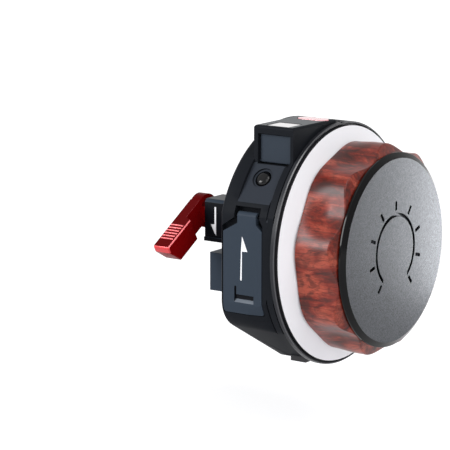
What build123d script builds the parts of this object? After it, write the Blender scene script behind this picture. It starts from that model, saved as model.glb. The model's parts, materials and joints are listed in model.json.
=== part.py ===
from build123d import *
import math
import os

os.makedirs("parts", exist_ok=True)

# Hand unit of a wireless lens follow focus with its quick-release rail clamp.
# Millimetres. +X runs along the wheel's axis from the rail seat to the wheel's cap, +Z is up.
# The origin is on the rail seat, where the wheel's axis meets it.

# Clearances and cuts
overrun = 1.0
running_gap = 0.05
moving_gap = 0.3
slip_gap = 0.1

# Body: round shell with two flats, its mouth facing the wheel
clamp_depth = 7.0
plate_depth = 5.0
body_back = clamp_depth + plate_depth
body_depth = 18.8
body_front = body_back + body_depth
body_r = 36.2
wall = 2.0
back_wall = 3.0
door_flat_drop = 2.2
door_flat = body_r - door_flat_drop
door_wall = 3.4
diagonal_drop = 2.9
diagonal_flat = body_r - diagonal_drop
diagonal_angle = 240.9
heel_round_inset = 17.0
heel_round = (body_r - heel_round_inset) / 2
heel_slope = math.radians(diagonal_angle)
heel_corner = (diagonal_flat + door_flat * math.cos(heel_slope)) / math.sin(heel_slope)
heel_bulge = heel_round / math.sin(heel_slope / 2) - heel_round
heel_margin = 0.19598
heel_reach = math.hypot(door_flat, heel_corner) - heel_bulge + heel_margin
heel_length = 8.0
back_round = 1.8
seam_width = 0.4
seam_depth = 0.4
seam_setback = 2.4
cavity_r = body_r - wall
cavity_back = body_back + back_wall

# Top block with the display, the record button and the charging port
block_length = 13.6
block_back = body_front - block_length
block_inset = 12.2
block_near = -(body_r - block_inset)
block_far = -1.3
block_rise = 0.9
block_top = body_r + block_rise
block_sink = 16.2
block_foot = body_r - block_sink
block_round = 0.9
top_wall = 1.6
block_side_wall = 1.6
block_front_wall = 0.8
block_face_wall = 3.2
block_far_wall = 0.5

# Port recess, its cover and the socket
port_width = 11.2
port_top_wall = 2.4
port_high = block_top - port_top_wall
port_height = 8.8
port_low = port_high - port_height
port_depth = 2.0
port_side = 1.4
port_back_edge = block_back + port_side
port_mid = port_back_edge + port_width / 2
cover_thick = 0.9
cover_pin_r = 0.35
cover_pin_reach = 0.6
cover_back_gap = 0.1
socket_width = 7.5
socket_height = 2.65
socket_length = 5.5
socket_wall = 0.3
socket_setback = 0.1
socket_back_wall = 0.6
tongue_width = 4.6
tongue_thick = 0.9

# Display
window_length = 7.9
window_width = 7.2
window_thick = 0.9
window_seat = 1.0
window_lip = 0.7
window_setback = 1.1
window_side = 3.4
window_near = block_near + window_setback
window_back = block_back + window_side
display_length = 7.0
display_width = 4.6

# Top circuit board
top_board_thick = 1.0
top_board_drop = 4.5
top_board_top = block_top - top_board_drop
top_board_margin = 0.4
top_board_ledge = 1.0

# Record button, an oval that presses down
record_length = 10.0
record_width = 4.5
record_from_back = 7.95
record_mid_x = block_back + record_from_back
record_round = 0.15
record_mid_y = -4.9
record_sink = 0.3
record_travel = 0.5
record_gap = 0.25
record_flange = 0.5
record_flange_length = 4.0
record_flange_thick = 0.8
record_switch_size = 3.5
record_switch_gap = 0.2
record_switch_cap_r = 0.9
record_switch_cap = 0.35

# Calibration button on its own facet
cal_angle = 140.4
cal_facet_drop = 1.0
cal_facet = body_r - cal_facet_drop
cal_facet_from_back = 5.4
cal_shift = 2.0
cal_from_back = (body_depth + cal_shift) / 2
cal_mid_x = body_back + cal_from_back
cal_round = 1.5
cal_r = 2.4
cal_gap = 0.15
cal_dish_r = 3.2
cal_dish_depth = 0.5
cal_proud = 0.35
cal_travel = 0.45
cal_flange_r = 3.2
cal_flange_thick = 0.9
cal_flange_drop = 1.5
cal_switch_size = 3.4
cal_switch_height = 1.1
cal_board_inset = 7.8
cal_board_length = body_depth - cal_board_inset
cal_board_width = 5.0
cal_board_thick = 0.8
cal_post_r = 1.1

# Battery door, sliding up in its recess and swinging out about the pin in its tongue
door_from_back = 1.45
door_back = body_back + door_from_back
door_width = 13.4
door_low_inset = 19.5
door_low = -(body_r - door_low_inset)
door_high_inset = 22.9
door_high = body_r - door_high_inset
tongue_length = 3.35
door_shoulder = door_high - tongue_length
tongue_from_back = 4.95
tongue_back = door_back + tongue_from_back
tongue_span = 6.4
tongue_gap = 1.2
back_shoulder_drop = 2.8
front_shoulder_drop = 1.8
door_thick = 1.6
door_proud = 0.1
door_travel = 1.3
door_side_gap = 0.2
door_rim_gap = 0.6
door_back_gap = 0.2
door_corner = 0.9
door_pin_r = 0.4
door_pin_reach = 0.9
door_knuckle_r = 1.3
nail_from_back = 3.95
nail_width = 6.7
nail_rise = 3.35
nail_slope = 0.9
nail_height = 1.45
nail_depth = 0.7
slit_width = 0.7
slit_height = 2.4
slit_depth = 0.4

# Battery and its tray
pack_room = 10.4
pack_thick = body_depth - pack_room
pack_length = 37.0
pack_width = 22.4
pack_margin = 1.9
pack_low = door_low + pack_margin
pack_gap = 0.2
tray_wall = 0.8
tray_back_gap = 0.2
tray_near_gap = 1.0
tray_near = -(door_flat - door_wall - tray_near_gap)
pack_setback = 0.4
pack_round = 2.0
contact_width = 2.2
contact_height = 5.0
contact_thick = 0.7
contact_gap = 0.1
contact_clear = 3.8
contact_spacing = contact_width + contact_clear

# Power slider under the body
slider_from_back = 6.0
slider_back = body_back + slider_from_back
slider_length = 5.5
slider_width = 3.0
slider_mid_y = -3.9
slider_proud = 0.6
slider_travel = 2.0
slider_pocket_depth = 1.2
slider_stem_width = 1.4
slider_stem_length = 2.4
slider_stem_depth = 3.4
slide_switch_length = 7.0
slide_switch_width = 4.0
slide_switch_height = 2.6
slide_switch_rise = 1.8
slide_switch_slot = 1.3

# Bezel, which closes the body's mouth and carries the wheel's bearings
bezel_rim = 1.6
bezel_plate = 2.2
bezel_floor_drop = 0.8
bezel_front = body_front + bezel_rim
bezel_floor = bezel_front - bezel_floor_drop
bezel_back = bezel_floor - bezel_plate
bezel_r = body_r
bezel_lip = 0.8
bezel_lip_r = bezel_r - bezel_lip
bezel_seam_depth = 0.5
bezel_seam_r = bezel_r - bezel_seam_depth
bezel_seam = 0.4
bezel_chamfer = 0.25
index_width = 1.0
index_length = 1.1
index_proud = 0.15

# Bearings
bearing_bore_r = 4.0
bearing_r = 8.0
bearing_width = 5.0
race_thick = 1.3
ball_r = 0.8
ball_play = 0.1
ball_count = 9
ball_circle_r = (bearing_bore_r + bearing_r) / 2
boss_wall = 1.6
boss_shoulder = 1.0
bearing_spacing = 4.8
bearing_inset = 0.2
rear_bearing_x = bezel_back + bearing_inset
front_bearing_x = rear_bearing_x + bearing_width + bearing_spacing
boss_end = front_bearing_x + bearing_width + bearing_inset

# Wheel: marking ring, wooden grip and cap on one hub
ring_side_gap = 0.4
ring_r = bezel_lip_r - ring_side_gap
ring_gap = 0.4
ring_back = bezel_floor + ring_gap
ring_edge = 1.0
ring_slope_drop = 6.0
ring_slope_r = ring_r - ring_slope_drop
ring_slope = 3.0
ring_relief_depth = 1.6
ring_relief_wall = 3.0
grip_back = ring_back + ring_edge + ring_slope
grip_length = 12.9
grip_lobe_rise = 1.5
grip_lobe_r = ring_slope_r + grip_lobe_rise
grip_flute_drop = 0.3
grip_flute_r = ring_slope_r - grip_flute_drop
grip_lobes = 9
grip_lobe_angle = 92.0
grip_chamfer_length = 2.6
grip_end_drop = 0.6
grip_end_r = ring_slope_r - grip_end_drop
hub_r = 20.0
hub_wall = 3.5
hub_web = 2.8
hub_end_gap = 0.6
shaft_tail = 1.3
shaft_end = rear_bearing_x - shaft_tail
stop_angle = 25.0
stop_reach = 3.4
stop_height = 2.8
stop_pin_r = 1.0
stop_pin_height = 2.6
stop_pin_seat = 1.4
cap_drop = 1.0
cap_r = ring_slope_r - cap_drop
cap_back = grip_back + grip_length
cap_step_drop = 0.8
cap_step_r = cap_r - cap_step_drop
cap_step = 0.4
cap_side = 0.6
cap_bevel = 0.5
cap_bevel_width = 1.8
cap_face_r = cap_r - cap_bevel_width
cap_boss = 0.9
cap_boss_r = 2.0
cap_screw_circle_r = (bearing_r + boss_wall + hub_r - hub_wall) / 2
cap_screw_angles = (90, 210, 330)
dial_r = 10.5
dial_line = 0.9
dial_depth = 0.5
dial_tick = 2.6
dial_tick_r = 13.2
dial_ticks = 9
dial_open_angle = 40.0

# Encoder, boards and fixings inside
pillar_r = 2.2
pillar_inset = 6.0
pillar_circle_r = cavity_r - pillar_inset
main_board_side_gap = 1.0
main_board_r = pillar_circle_r - pillar_r - main_board_side_gap
main_board_thick = 1.0
main_board_setback = 3.5
main_board_back = bezel_back - main_board_setback
chip_size = 4.0
chip_thick = 0.9
magnet_r = 2.5
magnet_thick = 2.0
clip_r = 5.4
clip_inner_r = 3.3
clip_mouth = 3.3
clip_thick = 0.6
radio_length = 12.0
radio_width = 9.0
radio_thick = 1.6
radio_mid_y = 12.0
radio_mid_z = -4.5
board_post_r = 1.7
board_post_inset = 4.0
board_post_circle_r = main_board_r - board_post_inset
board_post_angles = (45, 135, 270)
board_screw_reach = 2.7
pillar_angles = (45, 120, 225, 315)
pillar_screw_reach = 9.0
ring_screw_circle_r = (hub_r + ring_slope_r) / 2
ring_screw_angles = (30, 150, 270)
ring_screw_reach = 5.0
glide_side_gap = 0.6
glide_width = 2.0
glide_inner_r = hub_r + glide_side_gap
glide_outer_r = glide_inner_r + glide_width
glide_thick = 0.3

# Screws: shank radius, head radius, head height, drive size
small_shank_r = 0.8
small_head_r = 1.6
small_head = 0.9
medium_shank_r = 1.0
medium_head_r = 1.9
medium_head = 1.2
drive_share = 0.55
drive_depth_share = 0.6

# Clamp for a straight rail along Z
rail_half = 10.6
rail_gap = 0.1
rail_head = 2.0
rail_bevel = 1.8
fixed_lip = 5.0
fixed_lip_edge = 16.0
lip_corner = 1.0
clamp_low = -18.0
clamp_high = 15.0
slab_near = -9.4
lock_near = -20.0
lock_low = 0.0
lock_high = 12.6
lock_back = -3.2
lock_bevel = 0.9
lock_lip = 0.5
lock_lip_height = 1.2
lock_face = 6.9
lock_step = 0.5
plate_half_width = 17.0
plate_low = -19.0
plate_high = 17.0
plate_corner = 3.0
plate_screw_y = 26.0
plate_screw_z = 28.0
plate_screw_reach = 2.8
clamp_screw_y = 11.0
clamp_screw_z = 24.0
clamp_screw_mid_y = 0.5
clamp_screw_mid_z = -0.5
clamp_screw_reach = 3.5
foot_near = -15.5
lip_foot = 1.3

# Moving jaw, driven by the lever's eccentric pin
jaw_lip = 4.4
jaw_corner = 0.3
jaw_near = -16.0
jaw_low = -16.0
jaw_high = -4.4
jaw_neck_near = -14.0
jaw_far = -9.7
jaw_arm_near = -17.5
jaw_arm_low = 1.2
jaw_arm_high = 10.8
jaw_back = 3.2
jaw_front_gap = 0.3
jaw_travel = 1.2
pocket_back = 1.7
pocket_wall = 1.1

# Lever, its shaft and its screw
lever_y = -16.0
lever_z = 8.2
lever_back = -8.7
lever_thick = 5.7
lever_hub_r = 5.1
lever_reach = 23.1
lever_top = 5.2
lever_nose = 3.0
lever_slant = 3.2
lever_low = 2.3
lever_root = 1.5
lever_bottom_round = 0.6
lever_angle = 210.9
lever_tip_round = 0.8
lever_chamfer = 0.3
lever_step = 2.1
lever_step_start = 9.4
lever_step_end = 10.5
lever_boss_r = 3.6
lever_boss_gap = 0.4
rib_count = 6
rib_first = 13.1
rib_spacing = 1.2
rib_width = 0.45
rib_height = 0.2
rib_inset = 0.6
shaft_r = 2.2
shaft_square = 3.0
shaft_collar_r = 2.7
shaft_collar = 1.0
lever_screw_reach = 3.3
lever_skin = 1.2
cam_pin_r = 1.1
cam_pin_length = 3.5
cam_rest_angle = -45
cam_offset = jaw_travel / math.sqrt(2)
cam_slot_gap = 0.1


def polar(radius, angle):
    """Point on the YZ plane at an angle counted from +Y towards +Z."""
    return (radius * math.cos(math.radians(angle)), radius * math.sin(math.radians(angle)))


def body_outline(radius, near_flat, slant_flat):
    """Add the body's round outline with its door flat and its diagonal flat."""
    Circle(radius)
    with Locations((-near_flat, 0)):
        Rectangle(radius, 2 * radius, align=(Align.MAX, Align.CENTER), mode=Mode.SUBTRACT)
    with Locations(polar(slant_flat + radius / 2, diagonal_angle)):
        Rectangle(radius, 2 * radius, rotation=diagonal_angle, mode=Mode.SUBTRACT)


def heel_outline(near_flat, slant_flat):
    """Add the corner between the two flats, which stands out past the body's round."""
    slope = math.radians(diagonal_angle)
    corner = (slant_flat + near_flat * math.cos(slope)) / math.sin(slope)
    Polygon((0, 0), (-near_flat, 0), (-near_flat, corner), polar(slant_flat, diagonal_angle), align=None)


def shell(grow):
    """Outside of the body, grown all round: the round with its flats and the heel between them."""
    with BuildPart() as piece:
        with BuildSketch(Plane.YZ.offset(body_back)) as outline:
            heel_outline(door_flat + grow, diagonal_flat + grow)
            fillet(outline.vertices().sort_by_distance((0, 0, 0))[-1], heel_round)
            body_outline(body_r + grow, door_flat + grow, diagonal_flat + grow)
        extrude(amount=body_depth)
        with BuildSketch(Plane.XY):
            with BuildLine():
                Polyline(
                    (body_back, 0),
                    (body_back, heel_reach + grow),
                    (body_back + heel_length, heel_reach + grow),
                    (body_front - seam_setback, body_r + grow),
                    (body_front, body_r + grow),
                    (body_front, 0),
                    close=True,
                )
            make_face()
        revolve(axis=Axis.X, mode=Mode.INTERSECT)
    return piece.part


def save(piece, name):
    """Label a finished piece and write it as its own file."""
    piece.part.label = name
    export_step(piece.part, "parts/" + name + ".step")


# Hexagonal sockets of the two screw sizes
small_drive = extrude(RegularPolygon(small_head_r * drive_share, 6), small_head * drive_depth_share)
medium_drive = extrude(RegularPolygon(medium_head_r * drive_share, 6), medium_head * drive_depth_share)
small = (small_drive, small_shank_r, small_head_r, small_head)
medium = (medium_drive, medium_shank_r, medium_head_r, medium_head)


def screws(face, spots, size, reach):
    """Add socket screws along +X whose heads start at a face, reach counted past the head."""
    drive, shank_r, head_r, head = size
    for spot in spots:
        with Locations(Location((face, spot[0], spot[1]), (0, 90, 0))):
            Cylinder(shank_r, head + reach, align=(Align.CENTER, Align.CENTER, Align.MIN))
            Cylinder(head_r, head, align=(Align.CENTER, Align.CENTER, Align.MIN))
            add(drive, mode=Mode.SUBTRACT)


def door_outline(grow, rim_grow, tongue_grow, lift):
    """Add the battery door's outline, grown, with more room at the rim and the tongue, and lifted."""
    low = door_low - grow
    shoulder = door_shoulder + lift + grow
    Polygon(
        (door_back - rim_grow, low),
        (door_back + door_width + grow, low),
        (door_back + door_width + grow, shoulder - front_shoulder_drop),
        (tongue_back + tongue_span + tongue_grow, shoulder),
        (tongue_back + tongue_span + tongue_grow, door_high + lift + grow),
        (tongue_back - tongue_grow, door_high + lift + grow),
        (tongue_back - tongue_grow, shoulder),
        (door_back - rim_grow, shoulder - back_shoulder_drop),
        align=None,
    )


# Rear housing: the shell that holds the electronics, open towards the wheel
door_plane_y = -(door_flat + door_proud)
door_inner_y = door_plane_y + door_thick
door_axis_y = door_plane_y + door_knuckle_r
door_axis_z = door_high - door_knuckle_r
cal_normal = (0, math.cos(math.radians(cal_angle)), math.sin(math.radians(cal_angle)))
record_top = block_top - record_sink
record_flange_top = block_top - top_wall - running_gap
record_flange_low = record_flange_top - record_flange_thick
window_mid = (window_back + window_length / 2, window_near + window_width / 2)
cover_axis_y = block_near + port_depth - cover_back_gap - cover_thick / 2
cover_axis_z = port_low + moving_gap + cover_thick / 2
slider_floor = body_r - slider_pocket_depth
socket_top = top_board_top - top_board_thick
socket_low = socket_top - socket_height
board_back = block_back + block_side_wall + top_board_margin
board_near = block_near + block_face_wall + top_board_margin


def cal_plane(distance):
    """Plane across the calibration button's axis, at a distance from the wheel's axis."""
    y, z = polar(distance, cal_angle)
    return Plane(origin=(cal_mid_x, y, z), x_dir=(1, 0, 0), z_dir=cal_normal)


outer_shell = shell(0)
with BuildPart() as rear_housing:
    add(outer_shell)
    fillet(rear_housing.faces().sort_by(Axis.X)[0].edges(), back_round)
    with BuildSketch(Plane.YZ.offset(body_front - seam_setback)):
        Circle(body_r + overrun)
        Circle(body_r - seam_depth, mode=Mode.SUBTRACT)
    extrude(amount=seam_width, mode=Mode.SUBTRACT)
    facet_length = body_front - seam_setback - body_back - cal_facet_from_back
    with BuildSketch(cal_plane(cal_facet)):
        with Locations((body_front - seam_setback - cal_mid_x, 0)):
            Rectangle(facet_length, body_r, align=(Align.MAX, Align.CENTER))
    extrude(amount=body_r - cal_facet + overrun, mode=Mode.SUBTRACT)
    with BuildSketch(Plane.XY.offset(block_foot)):
        with Locations((block_back, block_near)):
            Rectangle(block_length, block_far - block_near, align=(Align.MIN, Align.MIN))
    extrude(amount=block_top - block_foot)
    top_edges = rear_housing.faces().sort_by(Axis.Z)[-1].edges()
    fillet(top_edges, block_round)
    # Inside: the round cavity, the block's own cavity and the ledge for the top board
    with BuildSketch(Plane.YZ.offset(cavity_back)):
        body_outline(cavity_r, door_flat - door_wall, diagonal_flat - wall)
    extrude(amount=body_depth, mode=Mode.SUBTRACT)
    with BuildSketch(Plane.XY.offset(socket_top)):
        with Locations((block_back + block_side_wall, block_near + block_face_wall)):
            Rectangle(
                block_length - block_side_wall - block_front_wall,
                block_far - block_near - block_face_wall - block_far_wall,
                align=(Align.MIN, Align.MIN),
            )
    extrude(amount=block_top - top_wall - socket_top, mode=Mode.SUBTRACT)
    with BuildSketch(Plane.XY.offset(block_foot)):
        with Locations((board_back + top_board_ledge, board_near + top_board_ledge)):
            Rectangle(
                body_front - block_front_wall - board_back - top_board_ledge,
                block_far - board_near - top_board_ledge - block_far_wall,
                align=(Align.MIN, Align.MIN),
            )
    extrude(amount=socket_top - block_foot, mode=Mode.SUBTRACT)
    # Port recess, the bores for the cover's stub pins and the socket's hole
    with BuildSketch(Plane.YZ.offset(port_back_edge)):
        with Locations((block_near + port_depth, port_low)):
            Rectangle(body_r, port_high - port_low, align=(Align.MAX, Align.MIN))
    extrude(amount=port_width, mode=Mode.SUBTRACT)
    with BuildSketch(Plane.YZ.offset(port_back_edge - cover_pin_reach)):
        with Locations((cover_axis_y, cover_axis_z)):
            Circle(cover_pin_r + running_gap)
    extrude(amount=port_width + 2 * cover_pin_reach, mode=Mode.SUBTRACT)
    with BuildSketch(Plane.XZ.offset(-block_near)):
        with Locations((port_mid, socket_low + socket_height / 2)):
            Rectangle(socket_width + 2 * slip_gap, socket_height + 2 * slip_gap)
    extrude(amount=-port_depth - socket_setback - socket_length - slip_gap, mode=Mode.SUBTRACT)
    # Window seat, its light well and the record button's hole
    with BuildSketch(Plane.XY.offset(block_top - window_seat)):
        with Locations(window_mid):
            Rectangle(window_length, window_width)
    extrude(amount=window_seat + overrun, mode=Mode.SUBTRACT)
    with BuildSketch(Plane.XY.offset(block_top - top_wall)):
        with Locations(window_mid):
            Rectangle(window_length - 2 * window_lip, window_width - 2 * window_lip)
    extrude(amount=top_wall, mode=Mode.SUBTRACT)
    record_hole_low = record_flange_low - record_travel - slip_gap
    with BuildSketch(Plane.XY.offset(record_hole_low)):
        with Locations((record_mid_x, record_mid_y)):
            SlotOverall(record_length + 2 * record_gap, record_width + 2 * record_gap)
    extrude(amount=block_top - record_hole_low, mode=Mode.SUBTRACT)
    # Calibration button: hole, dish and two posts for its board
    with BuildSketch(cal_plane(cal_facet - cal_dish_depth)):
        Circle(cal_dish_r)
    extrude(amount=cal_dish_depth + overrun, mode=Mode.SUBTRACT)
    with BuildSketch(cal_plane(cavity_r - wall)):
        Circle(cal_r + cal_gap)
    extrude(amount=body_r - cavity_r + wall, mode=Mode.SUBTRACT)
    cal_switch_top = cal_facet - cal_flange_drop - cal_flange_thick - cal_travel - moving_gap
    cal_board_top = cal_switch_top - cal_switch_height
    with BuildSketch(cal_plane(cal_board_top)):
        with GridLocations(cal_board_length - 2 * cal_post_r, 0, 2, 1):
            Circle(cal_post_r)
    extrude(until=Until.NEXT)
    # Battery door's recess, the slots for its pin and the battery's opening
    recess_floor = door_inner_y + door_back_gap
    with BuildSketch(Plane.XZ.offset(door_flat + overrun)):
        door_outline(door_side_gap, door_rim_gap, tongue_gap, 0)
        door_outline(door_side_gap, door_rim_gap, tongue_gap, door_travel)
    extrude(amount=-(door_flat + overrun + recess_floor), mode=Mode.SUBTRACT)
    knuckle_low = door_axis_z - door_knuckle_r - moving_gap
    with BuildSketch(Plane.XZ.offset(door_flat + overrun)):
        with Locations((tongue_back - tongue_gap, knuckle_low)):
            Rectangle(
                tongue_span + 2 * tongue_gap,
                door_high + door_travel + door_side_gap - knuckle_low,
                align=(Align.MIN, Align.MIN),
            )
    extrude(amount=-(door_flat + overrun + door_axis_y + door_knuckle_r + moving_gap), mode=Mode.SUBTRACT)
    with BuildSketch(Plane.YZ.offset(tongue_back - door_pin_reach - tongue_gap)):
        with Locations((door_axis_y, door_axis_z + door_travel / 2)):
            SlotOverall(
                door_travel + 2 * (door_pin_r + running_gap),
                2 * (door_pin_r + running_gap),
                rotation=90,
            )
    extrude(amount=tongue_span + 2 * (door_pin_reach + tongue_gap), mode=Mode.SUBTRACT)
    tray_back = cavity_back + tray_back_gap
    pack_back = tray_back + tray_wall + pack_gap
    with BuildSketch(Plane.XZ.offset(door_flat)):
        with Locations((pack_back - pack_gap, pack_low - pack_gap)):
            Rectangle(pack_thick + 2 * pack_gap, pack_width + 2 * pack_gap, align=(Align.MIN, Align.MIN))
    extrude(amount=-door_wall - overrun, mode=Mode.SUBTRACT)
    # Power slider's pocket and the slot for its stem
    with BuildSketch(Plane.XY.offset(-slider_floor)):
        with Locations((slider_back - moving_gap, slider_mid_y)):
            Rectangle(
                slider_length + slider_travel + 2 * moving_gap,
                slider_width + 2 * moving_gap,
                align=(Align.MIN, Align.CENTER),
            )
    extrude(amount=-slider_pocket_depth - overrun, mode=Mode.SUBTRACT)
    stem_back = slider_back + (slider_length - slider_stem_length) / 2
    with BuildSketch(Plane.XY.offset(-body_r)):
        with Locations((stem_back - moving_gap, slider_mid_y)):
            Rectangle(
                slider_stem_length + slider_travel + 2 * moving_gap,
                slider_stem_width + 2 * moving_gap,
                align=(Align.MIN, Align.CENTER),
            )
    extrude(amount=wall + 2 * overrun, mode=Mode.SUBTRACT)
    # Holes in the back wall: four long screws and four screws of the mount plate
    with BuildSketch(Plane.YZ.offset(body_back)):
        with Locations(*[polar(pillar_circle_r, angle) for angle in pillar_angles]):
            Circle(medium_shank_r + slip_gap)
        with GridLocations(plate_screw_y, plate_screw_z, 2, 2):
            Circle(medium_shank_r)
    extrude(amount=back_wall, mode=Mode.SUBTRACT)
    with BuildSketch(Plane.YZ.offset(body_back)):
        with Locations(*[polar(pillar_circle_r, angle) for angle in pillar_angles]):
            Circle(medium_head_r + slip_gap)
    extrude(amount=medium_head, mode=Mode.SUBTRACT)

save(rear_housing, "rear_housing")


# Bezel: spigot plate in the body's mouth, rim, bearing boss, pillars and board posts
with BuildPart() as front_bezel:
    with BuildSketch(Plane.YZ.offset(bezel_back)):
        body_outline(
            cavity_r - slip_gap,
            door_flat - door_wall - slip_gap,
            diagonal_flat - wall - slip_gap,
        )
    extrude(amount=body_front - bezel_back)
    with BuildSketch(Plane.YZ.offset(body_front)):
        Circle(bezel_seam_r)
    extrude(amount=bezel_floor - body_front)
    with BuildSketch(Plane.YZ.offset(body_front + bezel_seam)):
        Circle(bezel_r)
        Circle(bezel_lip_r, mode=Mode.SUBTRACT)
    extrude(amount=bezel_rim - bezel_seam)
    chamfer(front_bezel.faces().sort_by(Axis.X)[-1].edges(), bezel_chamfer)
    with BuildSketch(Plane.YZ.offset(bezel_floor)):
        Circle(bearing_r + boss_wall)
    extrude(amount=boss_end - bezel_floor)
    with BuildSketch(Plane.YZ.offset(bezel_back)):
        with Locations(*[polar(pillar_circle_r, angle) for angle in pillar_angles]):
            Circle(pillar_r)
    extrude(amount=cavity_back - bezel_back)
    with BuildSketch(Plane.YZ.offset(bezel_back)):
        with Locations(*[polar(board_post_circle_r, angle) for angle in board_post_angles]):
            Circle(board_post_r)
    extrude(amount=main_board_back + main_board_thick - bezel_back)
    with BuildSketch(Plane.YZ.offset(bezel_back)):
        Circle(bearing_r)
    extrude(amount=rear_bearing_x + bearing_width - bezel_back, mode=Mode.SUBTRACT)
    with BuildSketch(Plane.YZ.offset(bezel_back)):
        Circle(bearing_r - boss_shoulder)
    extrude(amount=boss_end - bezel_back, mode=Mode.SUBTRACT)
    with BuildSketch(Plane.YZ.offset(front_bearing_x)):
        Circle(bearing_r)
    extrude(amount=boss_end - front_bearing_x, mode=Mode.SUBTRACT)
    with BuildSketch(Plane.YZ.offset(cavity_back)):
        with Locations(*[polar(pillar_circle_r, angle) for angle in pillar_angles]):
            Circle(medium_shank_r)
    extrude(amount=bezel_back - cavity_back - overrun, mode=Mode.SUBTRACT)
    with BuildSketch(Plane.YZ.offset(main_board_back + main_board_thick)):
        with Locations(*[polar(board_post_circle_r, angle) for angle in board_post_angles]):
            Circle(small_shank_r)
    extrude(amount=bezel_back - main_board_back - main_board_thick, mode=Mode.SUBTRACT)
    stop_circle_r = hub_r - hub_wall - stop_reach + stop_pin_r + moving_gap
    with BuildSketch(Plane.YZ.offset(bezel_floor - stop_pin_seat)):
        with Locations((0, -stop_circle_r)):
            Circle(stop_pin_r)
    extrude(amount=stop_pin_seat, mode=Mode.SUBTRACT)
    with BuildSketch(Plane.XY.offset(bezel_lip_r)):
        with Locations((bezel_front, 0)):
            Rectangle(index_length, index_width, align=(Align.MAX, Align.CENTER))
    extrude(amount=overrun, mode=Mode.SUBTRACT)
save(front_bezel, "front_bezel")

# Index mark let into the bezel's rim
with BuildPart() as index_mark:
    with BuildSketch(Plane.XY.offset(bezel_lip_r)):
        with Locations((bezel_front, 0)):
            Rectangle(index_length, index_width, align=(Align.MAX, Align.CENTER))
    extrude(amount=bezel_r - bezel_lip_r + index_proud)
save(index_mark, "index_mark")

# Stop pin that ends the wheel's turn
with BuildPart() as stop_pin:
    with BuildSketch(Plane.YZ.offset(bezel_floor - stop_pin_seat)):
        with Locations((0, -stop_circle_r)):
            Circle(stop_pin_r)
    extrude(amount=stop_pin_seat + stop_pin_height)
save(stop_pin, "stop_pin")

# Glide ring between the bezel and the marking ring
with BuildPart() as glide_ring:
    with BuildSketch(Plane.YZ.offset(bezel_floor)):
        Circle(glide_outer_r)
        Circle(glide_inner_r, mode=Mode.SUBTRACT)
    extrude(amount=glide_thick)
save(glide_ring, "glide_ring")

# Two ball bearings: outer race, inner race and balls
for place, start in (("rear", rear_bearing_x), ("front", front_bearing_x)):
    middle = Plane.YZ.offset(start + bearing_width / 2)
    with BuildPart() as outer_race:
        with BuildSketch(Plane.YZ.offset(start)):
            Circle(bearing_r)
            Circle(bearing_r - race_thick, mode=Mode.SUBTRACT)
        extrude(amount=bearing_width)
        with Locations(middle):
            Torus(ball_circle_r, ball_r + ball_play, mode=Mode.SUBTRACT)
    save(outer_race, place + "_outer_race")
    with BuildPart() as inner_race:
        with BuildSketch(Plane.YZ.offset(start)):
            Circle(bearing_bore_r + race_thick)
            Circle(bearing_bore_r, mode=Mode.SUBTRACT)
        extrude(amount=bearing_width)
        with Locations(middle):
            Torus(ball_circle_r, ball_r + ball_play, mode=Mode.SUBTRACT)
    save(inner_race, place + "_inner_race")
    with BuildPart() as balls:
        with Locations(middle):
            with PolarLocations(ball_circle_r, ball_count):
                Sphere(ball_r)
    save(balls, place + "_balls")

# Spacer between the inner races
with BuildPart() as bearing_spacer:
    with BuildSketch(Plane.YZ.offset(rear_bearing_x + bearing_width)):
        Circle(bearing_bore_r + race_thick / 2)
        Circle(bearing_bore_r, mode=Mode.SUBTRACT)
    extrude(amount=bearing_spacing)
save(bearing_spacer, "bearing_spacer")

# Wheel hub: shaft, web, sleeve and stop lug
hub_back = bezel_floor + hub_end_gap
web_front = cap_back - cap_boss
web_back = web_front - hub_web
cap_screw_spots = [polar(cap_screw_circle_r, angle) for angle in cap_screw_angles]
with BuildPart() as wheel_hub:
    with BuildSketch(Plane.YZ.offset(shaft_end)):
        Circle(bearing_bore_r)
    extrude(amount=web_front - shaft_end)
    with BuildSketch(Plane.YZ.offset(front_bearing_x + bearing_width)):
        Circle(bearing_bore_r + race_thick / 2)
    extrude(amount=web_back - front_bearing_x - bearing_width)
    with BuildSketch(Plane.YZ.offset(web_back)):
        Circle(hub_r)
    extrude(amount=hub_web)
    with BuildSketch(Plane.YZ.offset(hub_back)):
        Circle(hub_r)
        Circle(hub_r - hub_wall, mode=Mode.SUBTRACT)
    extrude(amount=web_back - hub_back)
    with BuildSketch(Plane.YZ.offset(hub_back)):
        with BuildLine():
            lug_out_r = hub_r - hub_wall / 2
            lug_in_r = hub_r - hub_wall - stop_reach
            CenterArc((0, 0), lug_out_r, 90 - stop_angle, 2 * stop_angle)
            CenterArc((0, 0), lug_in_r, 90 - stop_angle, 2 * stop_angle)
            Line(polar(lug_in_r, 90 - stop_angle), polar(lug_out_r, 90 - stop_angle))
            Line(polar(lug_in_r, 90 + stop_angle), polar(lug_out_r, 90 + stop_angle))
        make_face()
    extrude(amount=stop_height)
    with BuildSketch(Plane.YZ.offset(shaft_end)):
        Circle(magnet_r)
    extrude(amount=magnet_thick, mode=Mode.SUBTRACT)
    with BuildSketch(Plane.YZ.offset(rear_bearing_x - clip_thick)):
        Circle(bearing_bore_r + overrun)
        Circle(clip_inner_r, mode=Mode.SUBTRACT)
    extrude(amount=clip_thick, mode=Mode.SUBTRACT)
    with BuildSketch(Plane.YZ.offset(web_back)):
        with Locations(*cap_screw_spots):
            Circle(medium_shank_r + slip_gap)
    extrude(amount=hub_web, mode=Mode.SUBTRACT)
    with BuildSketch(Plane.YZ.offset(web_back)):
        with Locations(*cap_screw_spots):
            Circle(medium_head_r + slip_gap)
    extrude(amount=medium_head, mode=Mode.SUBTRACT)
save(wheel_hub, "wheel_hub")

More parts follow.
